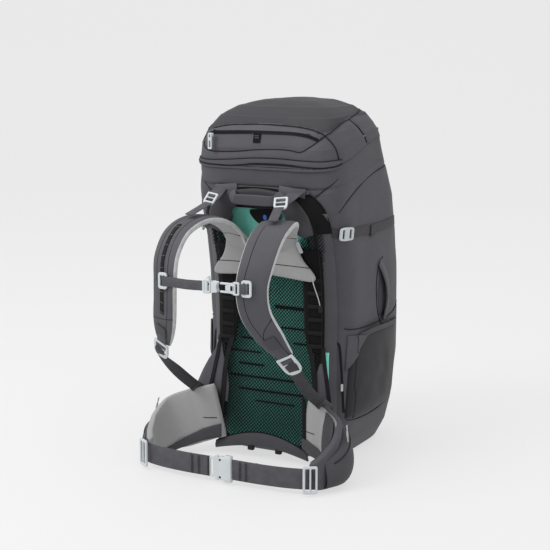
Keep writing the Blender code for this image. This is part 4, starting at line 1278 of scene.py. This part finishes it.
def pad(name, path, normals, widths, thickness, mats, crown=PAD_CROWN, across=9):
    """A foam pad along a path: its outer face, its side walls and its lining are three fabrics."""
    path, normals = np.asarray(path, float), np.asarray(normals, float)
    n = len(path)
    _, normals, side = frames_along(path, normals)
    points, uvs = [], []
    span = np.linspace(-1, 1, across)
    profile = [(s, 0.5, crown * (1 - s * s)) for s in span] + [(1.02, 0.15, 0), (1.02, -0.25, 0)]
    profile += [(s, -0.5, -crown * 0.6 * (1 - s * s)) for s in span[::-1]]
    profile += [(-1.02, -0.25, 0), (-1.02, 0.15, 0)]
    kinds = [OUTER] * (across - 1) + [WALL] * 3 + [INNER] * (across - 1) + [WALL] * 3
    k = len(profile)
    length = lengths_along(path)
    for i in range(n):
        ends = min(1.0, 0.35 + 0.65 * min(i, n - 1 - i) / 2.0)
        for s, h, bulge in profile:
            edge = 1.0 if abs(s) < 0.95 else 0.86
            points.append(path[i] + side[i] * s * widths[i] / 2 + normals[i]
                          * (h * thickness[i] * edge * ends + bulge))
            uvs.append((length[i], s * widths[i] / 2))
    faces = grid_faces(n, k, ring=True) + [tuple(range(k)), tuple(range((n - 1) * k, n * k))]
    indices = kinds * (n - 1) + [WALL, WALL]
    obj = mesh_object(name, points, faces, mats, indices=indices, uvs=uvs)
    modify(obj, "SUBSURF", levels=1, render_levels=1)
    return obj


SHOULDER_PATH = ((0.056, -0.188, 0.466), (0.064, -0.213, 0.508), (0.081, -0.252, 0.531),
                 (0.095, -0.302, 0.535), (0.103, -0.358, 0.516), (0.104, -0.396, 0.475),
                 (0.100, -0.411, 0.428), (0.105, -0.405, 0.375), (0.125, -0.378, 0.322),
                 (0.144, -0.350, 0.281))
SHOULDER_WIDTHS = (0.056, 0.058, 0.070, 0.071, 0.069, 0.067, 0.064, 0.061, 0.054, 0.034)
SHOULDER_DEPTHS = (0.008, 0.011, 0.013, 0.013, 0.013, 0.013, 0.013, 0.013, 0.012, 0.008)
SHOULDER_TWIST = 0.33


class Strap:
    """A shoulder strap's path, so that seams and webbing can be laid on its face."""

    count = 90

    def __init__(self, side):
        rows = [(side * x, y, z, w, d) for (x, y, z), w,
                d in zip(SHOULDER_PATH, SHOULDER_WIDTHS, SHOULDER_DEPTHS)]
        table = smooth_curve(rows, self.count)
        self.path, self.widths, self.depths = table[:, :3], table[:, 3], table[:, 4]
        tangents = np.gradient(self.path, axis=0)
        across = np.array((1.0, side * SHOULDER_TWIST, 0.0))
        self.normals = np.cross(tangents, across)
        self.normals /= np.linalg.norm(self.normals, axis=1)[:, None]
        tangents /= np.linalg.norm(tangents, axis=1)[:, None]
        self.tangents = tangents
        self.across = np.cross(tangents, self.normals)

    def at(self, t, s=0.0, lift=0.0, inner=False):
        """Place and normal at share t of its length, s from -1 to 1 across, on its outer face or lining."""
        i = t * (self.count - 1)
        columns = np.column_stack([self.path, self.across, self.normals, self.widths, self.depths])
        found = np.array([np.interp(i, range(self.count), column) for column in columns.T])
        path, across, normal, width, depth = found[:3], found[3:6], found[6:9], found[9], found[10]
        if inner:
            normal = -normal
        off = depth / 2 + PAD_CROWN * (1 - s * s) * (0.6 if inner else 1) + lift
        return path + across * s * width / 2 + normal * off, normal

    def line(self, points, count=50, lift=0.0, inner=False):
        found = [self.at(t, s, lift, inner) for t, s in smooth_curve(points, count)]
        return np.array([f[0] for f in found]), np.array([f[1] for f in found])


STRAPS = {label: Strap(side) for side, label in SIDES}


def shoulder_straps():
    for side, label in SIDES:
        strap = STRAPS[label]
        obj = pad(f"shoulder_strap_{label}", strap.path, strap.normals, strap.widths, strap.depths,
                  ["body", "binding", "lining"])
        finish_piece(obj, "harness", "pack_fabric", f"shoulder_pad_{label}")
        parts = []
        if side > 0:
            lines = [((0.36, 0.42), (0.55, 0.45), (0.72, 0.50), (0.90, 0.35)),
                     ((0.80, -0.95), (0.84, 0.0), (0.875, 0.42))]
        else:
            lines = [((0.30, 0.50), (0.5, 0.52), (0.66, 0.55)),
                     ((0.30, -0.42), (0.5, -0.45), (0.72, -0.50), (0.92, -0.4)),
                     ((0.80, -0.95), (0.86, 0.9))]
        for points in lines:
            path, _ = strap.line(points, 50, -0.0005)
            parts.append((*rope(path, 0.0009), 0))
        path, _ = strap.line(((0.075, -1), (0.087, 0), (0.075, 1)), 20, -0.0004, True)
        parts.append((*rope(path, 0.0009), 0))
        finish_piece(join_parts(f"strap_seams_{label}", parts, ["seam"]), "harness", "pack_fabric")
        if side < 0:
            path, normal = strap.line(((0.40, 0.02), (0.60, 0.0), (0.80, 0.0)), 60)
            finish_piece(ribbon("daisy_chain", path, normal, 0.0095, 0.0018, "black_web"), "harness",
                         "webbing")
            bars = []
            for t in np.linspace(0.42, 0.79, 9):
                bar, _ = strap.line(((t, -0.18), (t, 0.18)), 6, 0.0022)
                bars.append((*rope(bar, 0.0007), 0))
            finish_piece(join_parts("daisy_bars", bars, ["thread"]), "harness", "webbing")


def yoke():
    half = [(0.0, 0.4110), (0.040, 0.4085), (0.090, 0.4040), (0.1150, 0.4035), (0.1215, 0.4120),
            (0.1120, 0.4280), (0.0980, 0.4440), (0.0890, 0.4620), (0.0850, 0.4800), (0.0820, 0.5000),
            (0.0560, 0.5060), (0.0360, 0.4920), (0.0180, 0.4740), (0.0, 0.4670)]
    outline = soft_outline(half + [(-x, z) for x, z in half[-2:0:-1]], 150)
    tilt = Vector((0, -1, -0.17)).normalized()
    middle = Vector((0, frame_y(0.41) - 0.0165, 0.41))
    rise = Vector((0, -0.17, 1)).normalized()
    length = 1 / rise.z
    mesh_points = [(x, (z - 0.41) * length) for x, z in outline]
    pad_obj = plate("yoke_cover", mesh_points, 0.0105, ["lining"], middle, (1, 0, 0), tilt, edge=0.0042)
    finish_piece(pad_obj, "harness", "liner_grey", "yoke_pad")

    def on_yoke(x, z):
        along = np.array(rise) * (z - 0.41) * length
        return np.array(middle) + (x, 0, 0) + along + np.array(tilt) * 0.0051

    seam = smooth_curve([(-0.112, 0.4345), (-0.05, 0.4360), (0, 0.4368), (0.05, 0.4360), (0.112, 0.4345)], 40)
    seam_part = (*rope([on_yoke(x, z) for x, z in seam], 0.0009), 0)
    finish_piece(join_parts("yoke_seams", [seam_part], ["seam"]), "harness", "liner_grey")
    keeper = plate("yoke_keeper", rounded(0.008, 0.026, 0.003), 0.003, "binding", on_yoke(0.094, 0.478)
                   + (0, -0.004, 0), (0.9, 0, 0.35), tilt, edge=0.001)
    finish_piece(keeper, "harness", "liner_grey")
    cord = smooth_curve([on_yoke(0.117, 0.416), (0.122, -0.186, 0.398), (0.127, -0.176, 0.370),
                         (0.129, -0.170, 0.352)], 30)
    points, faces = rope(cord, 0.0011)
    trim = mesh_object("yoke_cord", points, faces, "binding")
    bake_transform(trim)
    toggle = plate("cord_toggle", rounded(0.008, 0.016, 0.003), 0.006, "black_plastic",
                   (0.130, -0.170, 0.345), (1, 0, 0), (0, -1, 0), edge=0.002)
    finish_piece(toggle, "pack", "black_plastic")


LIFTER_BUCKLE = (0.083, -0.256, 0.5715)
LOWER_ANCHOR = (0.154, -0.172, 0.130)


def strap_webbing():
    for side, label in SIDES:
        strap = STRAPS[label]
        end, normal = strap.at(1.0, 0, -0.004)
        t = strap.tangents[-1]
        across = strap.across[-1] / np.linalg.norm(strap.across[-1])
        place = end + t * 0.016 + normal * 0.0065
        lock = ladder_lock(f"adjuster_{label}", place, -across, normal, 0.038, 0.046, 0.027)
        finish_piece(lock, "harness", "pale_plastic", f"strap_adjuster_{label}")
        loop, loop_n = strap.line(((0.90, 0), (0.95, 0), (1.0, 0)), 14, 0.0002)
        loop = np.vstack([loop, loop[-1] + t * 0.006 + normal * 0.002, loop[-1] + t * 0.012 + normal * 0.001])
        loop_n = np.vstack([loop_n, loop_n[-1], loop_n[-1]])
        loop = smooth_curve(np.hstack([loop, loop_n]), 24)
        finish_piece(ribbon(f"adjuster_loop_{label}", loop[:, :3], loop[:, 3:], 0.024, 0.0022, "webbing"),
                     "harness", "webbing")
        patch, patch_n = strap.line(((0.875, 0), (0.93, 0)), 8, 0.0016)
        finish_piece(ribbon(f"adjuster_patch_{label}", patch, patch_n, 0.026, 0.0016, "body_dark"),
                     "harness", "webbing")
        anchor = np.array((side, 1, 1)) * LOWER_ANCHOR
        start = place + normal * 0.0006 - t * 0.006
        middle = (start + anchor) / 2 + np.array((0, -0.006, -0.008))
        path = smooth_curve([start, place + t * 0.014 + normal * 0.0005, middle, anchor], 50)
        turn = np.clip(np.linspace(-0.15, 2.2, 50), 0, 1)[:, None]
        normals = normal * (1 - turn) + np.array((0.80, -0.36, -0.49)) * turn
        web = ribbon(f"lower_strap_{label}", path, normals, 0.024, 0.0018, "webbing_dark")
        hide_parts(f"lower_webbing_{label}")
        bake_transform(web)
        fold = smooth_curve([path[38], path[43], path[47]], 8)
        loop_piece = ribbon(f"lower_fold_{label}", fold, normals[[38, 43, 47]].repeat([3, 2, 3], axis=0),
                            0.026, 0.004, "body_dark", lift=-0.0008)
        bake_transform(loop_piece)
        top = np.array((side * 0.090, -0.1945, 0.5935))
        buckle = np.array((side, 1, 1)) * LIFTER_BUCKLE
        far = np.array((side * 0.098, -0.322, 0.5475))
        path = smooth_curve([top, (side * 0.0885, -0.215, 0.5875), buckle + np.array((0, 0.012, 0.0025)),
                             buckle + np.array((0, -0.010, -0.004)), far], 50)
        normals = np.cross(np.gradient(path, axis=0), (1.0, 0, 0))
        web = ribbon(f"load_strap_{label}", path, normals, [0.034, 0.030, 0.022, 0.020, 0.020], 0.0020,
                     "webbing")
        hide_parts(f"load_lifter_{label}")
        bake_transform(web)
        lock = ladder_lock(f"lifter_lock_{label}", (buckle[0], buckle[1] - 0.004, buckle[2] + 0.0035),
                           (1, side * 0.25, 0.10 * side), (0.10 * side, -0.80, 0.62), 0.029, 0.030, 0.0205)
        finish_piece(lock, "harness", "pale_plastic", f"lifter_buckle_{label}")


def sternum():
    z, y = 0.428, -0.4325
    for side, label in SIDES:
        lock = plate(f"sternum_lock_{label}", rounded(0.022, 0.034, 0.006), 0.0040, "pale",
                     (side * 0.096, -0.4265, z), (1, side * 0.12, 0), (0, -1, 0),
                     holes=(rounded(0.0045, 0.022, 0.0015, (-0.0038, 0)),
                            rounded(0.0045, 0.022, 0.0015, (0.0038, 0))), edge=0.0012)
        finish_piece(lock, "sternum", "pale_plastic", f"sternum_slider_{label}")
    path = smooth_curve([(-0.097, -0.4275, z), (-0.070, -0.4305, z), (-0.035, -0.4325, z - 0.001),
                         (0.0065, y, z)], 40)
    finish_piece(ribbon("sternum_strap_left", path, (0, -1.0, 0), 0.020, 0.0018, "webbing"), "sternum",
                 "webbing", "sternum_web_left")
    path = smooth_curve([(0.0835, y + 0.001, z), (0.090, -0.4305, z), (0.0975, -0.4275, z)], 12)
    finish_piece(ribbon("sternum_strap_right", path, (0, -1.0, 0), 0.020, 0.0018, "webbing"),
                 "sternum_male", "webbing", "sternum_web_right")
    shape = soft_outline([(-0.0170, 0.0125), (-0.0165, 0.0138), (-0.008, 0.0140), (0.008, 0.0135),
                          (0.0170, 0.0110), (0.0170, 0.0050), (0.0150, 0.0), (0.0170, -0.0050),
                          (0.0170, -0.0110), (0.008, -0.0135), (-0.008, -0.0140), (-0.0165, -0.0138),
                          (-0.0170, -0.0125), (-0.0176, 0)], 90)
    catch = plate("sternum_catch_body", shape, 0.0105, "pale", (0.021, y, z), (1, 0, 0), (0, -1, 0),
                  edge=0.0025, holes=(rounded(0.0032, 0.0195, 0.001, (-0.0128, 0)),
                                      rounded(0.0032, 0.0195, 0.001, (-0.0072, 0))))
    finish_piece(catch, "sternum", "pale_plastic", "sternum_catch")
    for name, outline, place, mat, thick in (("whistle_tab", rounded(0.0048, 0.008, 0.001),
                                              (0.0150, y, z + 0.0165), "pale", 0.005),
                                             ("catch_hole", rounded(0.003, 0.003, 0.0014),
                                              (0.0175, y - 0.0052, z + 0.005), "black_plastic", 0.0006),
                                             ("catch_line", rounded(0.0007, 0.024, 0.0003),
                                              (0.0215, y - 0.0052, z), "seam", 0.0006)):
        finish_piece(plate(name, outline, thick, mat, place, (1, 0, 0), (0, -1, 0),
                           edge=min(0.0005, thick / 3)), "sternum", "pale_plastic")
    web_end = rounded(0.0150, 0.0265, 0.004, (0.0155, 0))
    parts = (("sternum_tongue_bar", web_end, (rounded(0.0048, 0.0195, 0.001, (0.0165, 0)),)),
             ("sternum_tongue_neck", rounded(0.0200, 0.0120, 0.003, (0.0020, 0)), ()),
             ("sternum_prong_high", rounded(0.0240, 0.0042, 0.0019, (-0.0080, 0.0082)), ()),
             ("sternum_prong_low", rounded(0.0240, 0.0042, 0.0019, (-0.0080, -0.0082)), ()),
             ("sternum_prong_base", rounded(0.0070, 0.0220, 0.003, (0.0060, 0)), ()))
    for k, (name, outline, holes) in enumerate(parts):
        piece = plate(name, outline, 0.0046, "pale", (0.0610, y, z), (1, 0, 0), (0, -1, 0), holes=holes,
                      edge=0.0012)
        finish_piece(piece, "sternum_male", "pale_plastic", *(("sternum_tongue",) if k == 0 else ()))


# ------------------------------------------------------------------ hip belt

FIN_PATH = ((0.104, -0.184), (0.130, -0.197), (0.158, -0.206), (0.197, -0.229), (0.214, -0.268),
            (0.209, -0.305), (0.194, -0.335))
FIN_LOW = (0.040, 0.034, 0.024, 0.009, 0.005, 0.005, 0.007)
FIN_HIGH = (0.160, 0.153, 0.145, 0.128, 0.101, 0.079, 0.062)
FIN_THICKNESS = 0.015
HALF_FIN = FIN_THICKNESS / 2
PULL_HINGE = (0.227, -0.244, 0.125)
BELT_Z, BELT_HEIGHT = 0.034, 0.043


class Fin:
    """One hip wing's middle surface, so that its covers, pocket and trims can be laid on either face."""

    columns = 70

    def __init__(self, side):
        rows = [(side * x, y, 0.0, low, high) for (x, y), low, high in zip(FIN_PATH, FIN_LOW, FIN_HIGH)]
        table = smooth_curve(rows, self.columns)
        self.low, self.high = table[:, 3], table[:, 4]
        self.path = np.column_stack([table[:, :2], (self.low + self.high) / 2])
        self.normals = -side * np.cross(np.gradient(table[:, :3], axis=0), (0, 0, 1.0))
        self.normals /= np.linalg.norm(self.normals, axis=1)[:, None]

    def at(self, i, z, off):
        """The place at column i and height z, off the middle surface: outwards, or inwards if less than 0."""
        return np.array((*self.path[i][:2], z)) + self.normals[i] * off


def hip_side(side, label):
    fin, body = Fin(side), f"hip_{label}"
    wing = pad(f"hip_wing_{label}", fin.path, fin.normals, fin.high - fin.low,
               np.full(fin.columns, FIN_THICKNESS), ["body", "body" if side > 0 else "lining", "lining"],
               crown=0.0012, across=13)
    finish_piece(wing, body, "liner_grey", f"hip_fin_{label}")
    hip_covers(fin, side, label)
    dart = [fin.at(i, 0.084, -HALF_FIN - 0.0011) for i in range(3, 13)]
    finish_piece(join_parts(f"hip_dart_{label}", [(*rope(dart, 0.0008), 0)], ["seam"]), body, "liner_grey")
    hip_pouch(fin, label)
    edge = [fin.at(i, fin.high[i] - 0.002, FIN_THICKNESS * 0.35) for i in range(4, 66)]
    finish_piece(join_parts(f"hip_binding_{label}", [(*rope(edge, 0.0022), 0)], ["black_web"]), body,
                 "webbing")
    hip_pull_cord(side, label)


def hip_covers(fin, side, label):
    """The cloth on the wearer's face: over the lower edge, and on the right over most of the lining."""
    body = f"hip_{label}"
    rows = []
    for i in range(46):
        rise = 0.030 - 0.022 * (i / 45) ** 1.5
        rows.append([fin.at(i, fin.low[i] + 0.001 + rise * t, -HALF_FIN - 0.0026 - 0.0012 * arch(t))
                     for t in np.linspace(0, 1, 6)])
    finish_piece(surface(f"hip_sweep_{label}", rows, "body_dark", 0.0012, -fin.normals[20]), body,
                 "pack_fabric")
    if side < 0:
        return
    rows = []
    for i in range(19, 69):
        edge = min(1.0, (i - 19) / 5)
        rise = (fin.high[i] - fin.low[i] + 0.002) * (0.60 + 0.40 * edge)
        rows.append([fin.at(i, fin.low[i] - 0.001 + rise * t, -HALF_FIN - 0.0022 * edge - 0.0012 * arch(t))
                     for t in np.linspace(0, 1, 12)])
    finish_piece(surface("hip_guard_right", rows, "body_dark", 0.0012, -fin.normals[40]), body, "pack_fabric")
    rows = [[fin.at(i, fin.low[i] + (fin.high[i] - fin.low[i]) * t, -HALF_FIN - 0.0030)
             for t in np.linspace(0.02, 0.97, 10)] for i in range(5)]
    finish_piece(surface("hip_root_cover_right", rows, "black", 0.0012, -fin.normals[2]), body, "pack_fabric")


def hip_pouch(fin, label):
    """The zipped pocket on the wing's outer face, with two seams and its zip."""
    first, last, levels = 17, 61, 17
    rows = []
    for i in range(first, last + 1):
        share = (i - first) / (last - first)
        depth = 0.028 * arch(min(1, 0.06 + 0.90 * share)) ** 0.55
        low, high = fin.low[i] + 0.003, fin.high[i] - 0.010
        row = []
        for t in np.linspace(0, 1, levels):
            swell = arch(min(0.999, max(0.001, t))) ** 0.38
            row.append(fin.at(i, low + (high - low) * t, HALF_FIN - 0.001 + (depth - 0.010 * (t - 0.5))
                              * swell))
        rows.append(row)
    pouch = surface(f"hip_pouch_{label}", rows, "body_dark", 0.0015, fin.normals[40])
    finish_piece(pouch, f"hip_{label}", "pack_fabric", f"hip_pocket_{label}")
    parts = []
    for k in (7, 16):
        seam = [rows[k][j] + fin.normals[first + k] * 0.0002 for j in range(1, levels - 1)]
        parts.append((*rope(seam, 0.0010), 0))
    zip_line = [rows[k][int(levels * 0.80)] + fin.normals[first + k] * 0.0004 for k in range(3, 40)]
    parts.append((*rope(zip_line, 0.0016), 1))
    seams = join_parts(f"hip_pouch_seams_{label}", parts, ["seam", "black_plastic"])
    finish_piece(seams, f"hip_{label}", "pack_fabric")


def hip_pull_cord(side, label):
    """Two twisted strands hanging from the zip's slider."""
    hinge = np.array((side, 1, 1)) * PULL_HINGE
    strands = []
    for phase in (0.0, math.pi):
        line = []
        for t in np.linspace(0, 1, 40):
            a = phase + t * 5.5
            spread = 0.0024 * arch(min(1, t + 0.05)) ** 0.5
            line.append(hinge + (side * (0.001 + 0.006 * t), spread * math.cos(a) - 0.006 * t,
                                 0.001 - 0.034 * t + spread * math.sin(a) * 0.3))
        strands.append((*rope(line, 0.0011), 0))
    cord = join_parts(f"hip_pull_cord_{label}", strands, ["binding"])
    finish_piece(cord, f"hip_pull_{label}", "pale_plastic", f"hip_zip_pull_{label}")


def belt_line(side):
    return smooth_curve([(side * 0.1965, -0.3400, BELT_Z + 0.001), (side * 0.185, -0.3470, BELT_Z),
                         (side * 0.140, -0.3580, BELT_Z), (side * 0.080, -0.3630, BELT_Z),
                         (side * 0.0265, -0.3630, BELT_Z)], 70)


# Where the webbing's folded ends are sewn down, and its extra layers: first and last place, thickness
BELT_STITCHES = {"right": (0.044, 0.058), "left": (-0.070, -0.054, -0.031)}
BELT_LAYERS = {"right": ((44, 69, 0.0024), (46, 48, 0.0036)),
               "left": ((48, 69, 0.0024), (20, 40, 0.0022), (20, 22, 0.0034))}


def hip_belt():
    for side, label in SIDES:
        body = f"hip_{label}"
        path = belt_line(side)
        normals = np.cross(np.gradient(path, axis=0), (0, 0, 1.0)) * side
        normals[:, 2] = 0
        strap = ribbon(f"hip_strap_{label}", path, normals, BELT_HEIGHT, 0.0024, "webbing", lift=-0.0012)
        finish_piece(strap, body, "webbing", f"hip_webbing_{label}")
        layers = []
        for a, b, thick in BELT_LAYERS[label]:
            layers.append(ribbon_part(path[a : b + 1], normals[a : b + 1], BELT_HEIGHT - 0.001, thick,
                                      lift=0.0010))
        for x in BELT_STITCHES[label]:
            y = float(np.interp(x, *zip(*sorted(zip(path[:, 0], path[:, 1])))))
            for dx in (0.0, 0.0022):
                line = [(x + dx, y - 0.0034, BELT_Z + dz) for dz in np.linspace(-0.47, 0.47, 6) * BELT_HEIGHT]
                layers.append((*rope(line, 0.0005), 1))
        finish_piece(join_parts(f"hip_folds_{label}", layers, ["webbing", "black_web"]), body, "webbing")
        lock = plate(f"hip_frame_{label}", rounded(0.030, 0.058, 0.004), 0.0052, "pale",
                     (side * 0.1985, -0.3515, BELT_Z + 0.001), (side * 0.62, 0.36, 0),
                     (0.36 * side, -0.62, 0), holes=(rounded(0.0085, 0.047, 0.002, (-0.0055, 0)),
                                                     rounded(0.0085, 0.047, 0.002, (0.0065, 0))),
                     edge=0.0016)
        finish_piece(lock, body, "pale_plastic", f"hip_lock_{label}")
    y = -0.363
    for k, (name, outline, thick) in enumerate((
            ("hip_catch_body", rounded(0.030, 0.050, 0.004, (0.0015, 0)), 0.0120),
            ("hip_catch_top", rounded(0.0170, 0.0100, 0.003, (0.0080, 0.0235)), 0.0110),
            ("hip_catch_low", rounded(0.0170, 0.0100, 0.003, (0.0080, -0.0235)), 0.0110))):
        piece = plate(name, outline, thick, "pale", (0.0085, y, BELT_Z), (1, 0, 0), (0, -1, 0), edge=0.0024)
        finish_piece(piece, "hip_right", "pale_plastic", *(("hip_catch",) if k == 0 else ()))
    for k, height in ((0, 0.0265), (1, -0.0265)):
        horn = plate(f"hip_horn_{k}", rounded(0.0090, 0.0055, 0.0022), 0.0044, "pale",
                     (-0.0105, y, BELT_Z + height * 0.9), (1, 0, 0.25 if height > 0 else -0.25), (0, -1, 0),
                     edge=0.0012)
        finish_piece(horn, "hip_left", "pale_plastic")
        notch = plate(f"hip_notch_{k}", rounded(0.0050, 0.0040, 0.0018), 0.0008, "black_plastic",
                      (-0.0005, y - 0.0060, BELT_Z + height * 0.70), (1, 0, 0), (0, -1, 0), edge=0.0002)
        finish_piece(notch, "hip_right", "black_plastic")
    tongue = plate("hip_tongue_body", rounded(0.036, 0.044, 0.003), 0.0040, "pale", (-0.0100, y, BELT_Z),
                   (1, 0, 0), (0, -1, 0), edge=0.0012, holes=(rounded(0.005, 0.034, 0.0015, (-0.0125, 0)),))
    finish_piece(tongue, "hip_left", "pale_plastic", "hip_tongue")


# ------------------------------------------------------------------ parts kept from the CAD

# The lid's floor is painted in the darker shade fabric: painted shade.
KEPT = {"base_stiffener": "black_plastic", "drawcord": "black_web", "cord_lock": "black_plastic",
        "frame_tube": "black_plastic", "lid_floor": "body_deep", "lid_catch": "black_plastic",
        "lid_tongue": "black_plastic", "lid_zip_slider": "pale", "lid_zip_pull": "pale"}


def paint_kept():
    for name, mat in KEPT.items():
        data = NODES[name].data
        data.materials.clear()
        data.materials.append(MATERIALS[mat])


shoulder_straps()
yoke()
strap_webbing()
sternum()
for side, label in SIDES:
    hip_side(side, label)
hip_belt()
paint_kept()

# ------------------------------------------------------------------ floor and light


def make_stage():
    width, reach, radius = 9.0, 3.4, 1.6
    profile = [(-9.0, 0.0), (reach, 0.0)]
    profile += [(reach + radius * math.sin(a), radius * (1 - math.cos(a)))
                for a in np.linspace(0.1, math.pi / 2, 14)]
    profile.append((reach + radius, 7.0))
    turn = Matrix.Rotation(CAMERA_AZIMUTH, 3, "Z")
    points = [turn @ Vector((x, y, z)) for y, z in profile for x in (-width, width)]
    backdrop = mesh_object("backdrop", points, grid_faces(len(profile), 2), [FLOOR])


FLOOR_GLOW, WORLD_STRENGTH = 0.612, 0.90
FLOOR, _, floor_shader = shader_material("studio_floor", (0.19, 0.19, 0.19), 0.9)
floor_shader.inputs["Emission Color"].default_value = (1, 1, 1, 1)
floor_shader.inputs["Emission Strength"].default_value = FLOOR_GLOW
make_stage()


def area_light(name, place, aim, size, power):
    data = bpy.data.lights.new(name, "AREA")
    data.shape = "RECTANGLE"
    data.size, data.size_y = size
    data.energy = power
    obj = bpy.data.objects.new(name, data)
    bpy.context.scene.collection.objects.link(obj)
    obj.location = place
    obj.rotation_euler = (Vector(aim) - Vector(place)).to_track_quat("-Z", "Y").to_euler()


world = bpy.data.worlds.new("studio")
world.use_nodes = True
world.node_tree.nodes["Background"].inputs[0].default_value = (1, 1, 1, 1)
world.node_tree.nodes["Background"].inputs[1].default_value = WORLD_STRENGTH
bpy.context.scene.world = world
area_light("key", (-1.4, -2.2, 2.6), (0, 0, 0.4), (1.6, 1.6), 55)
area_light("top", (0.2, -0.2, 3.0), (0, 0, 0), (3.0, 3.0), 22)
bpy.context.scene.view_settings.view_transform = "Standard"
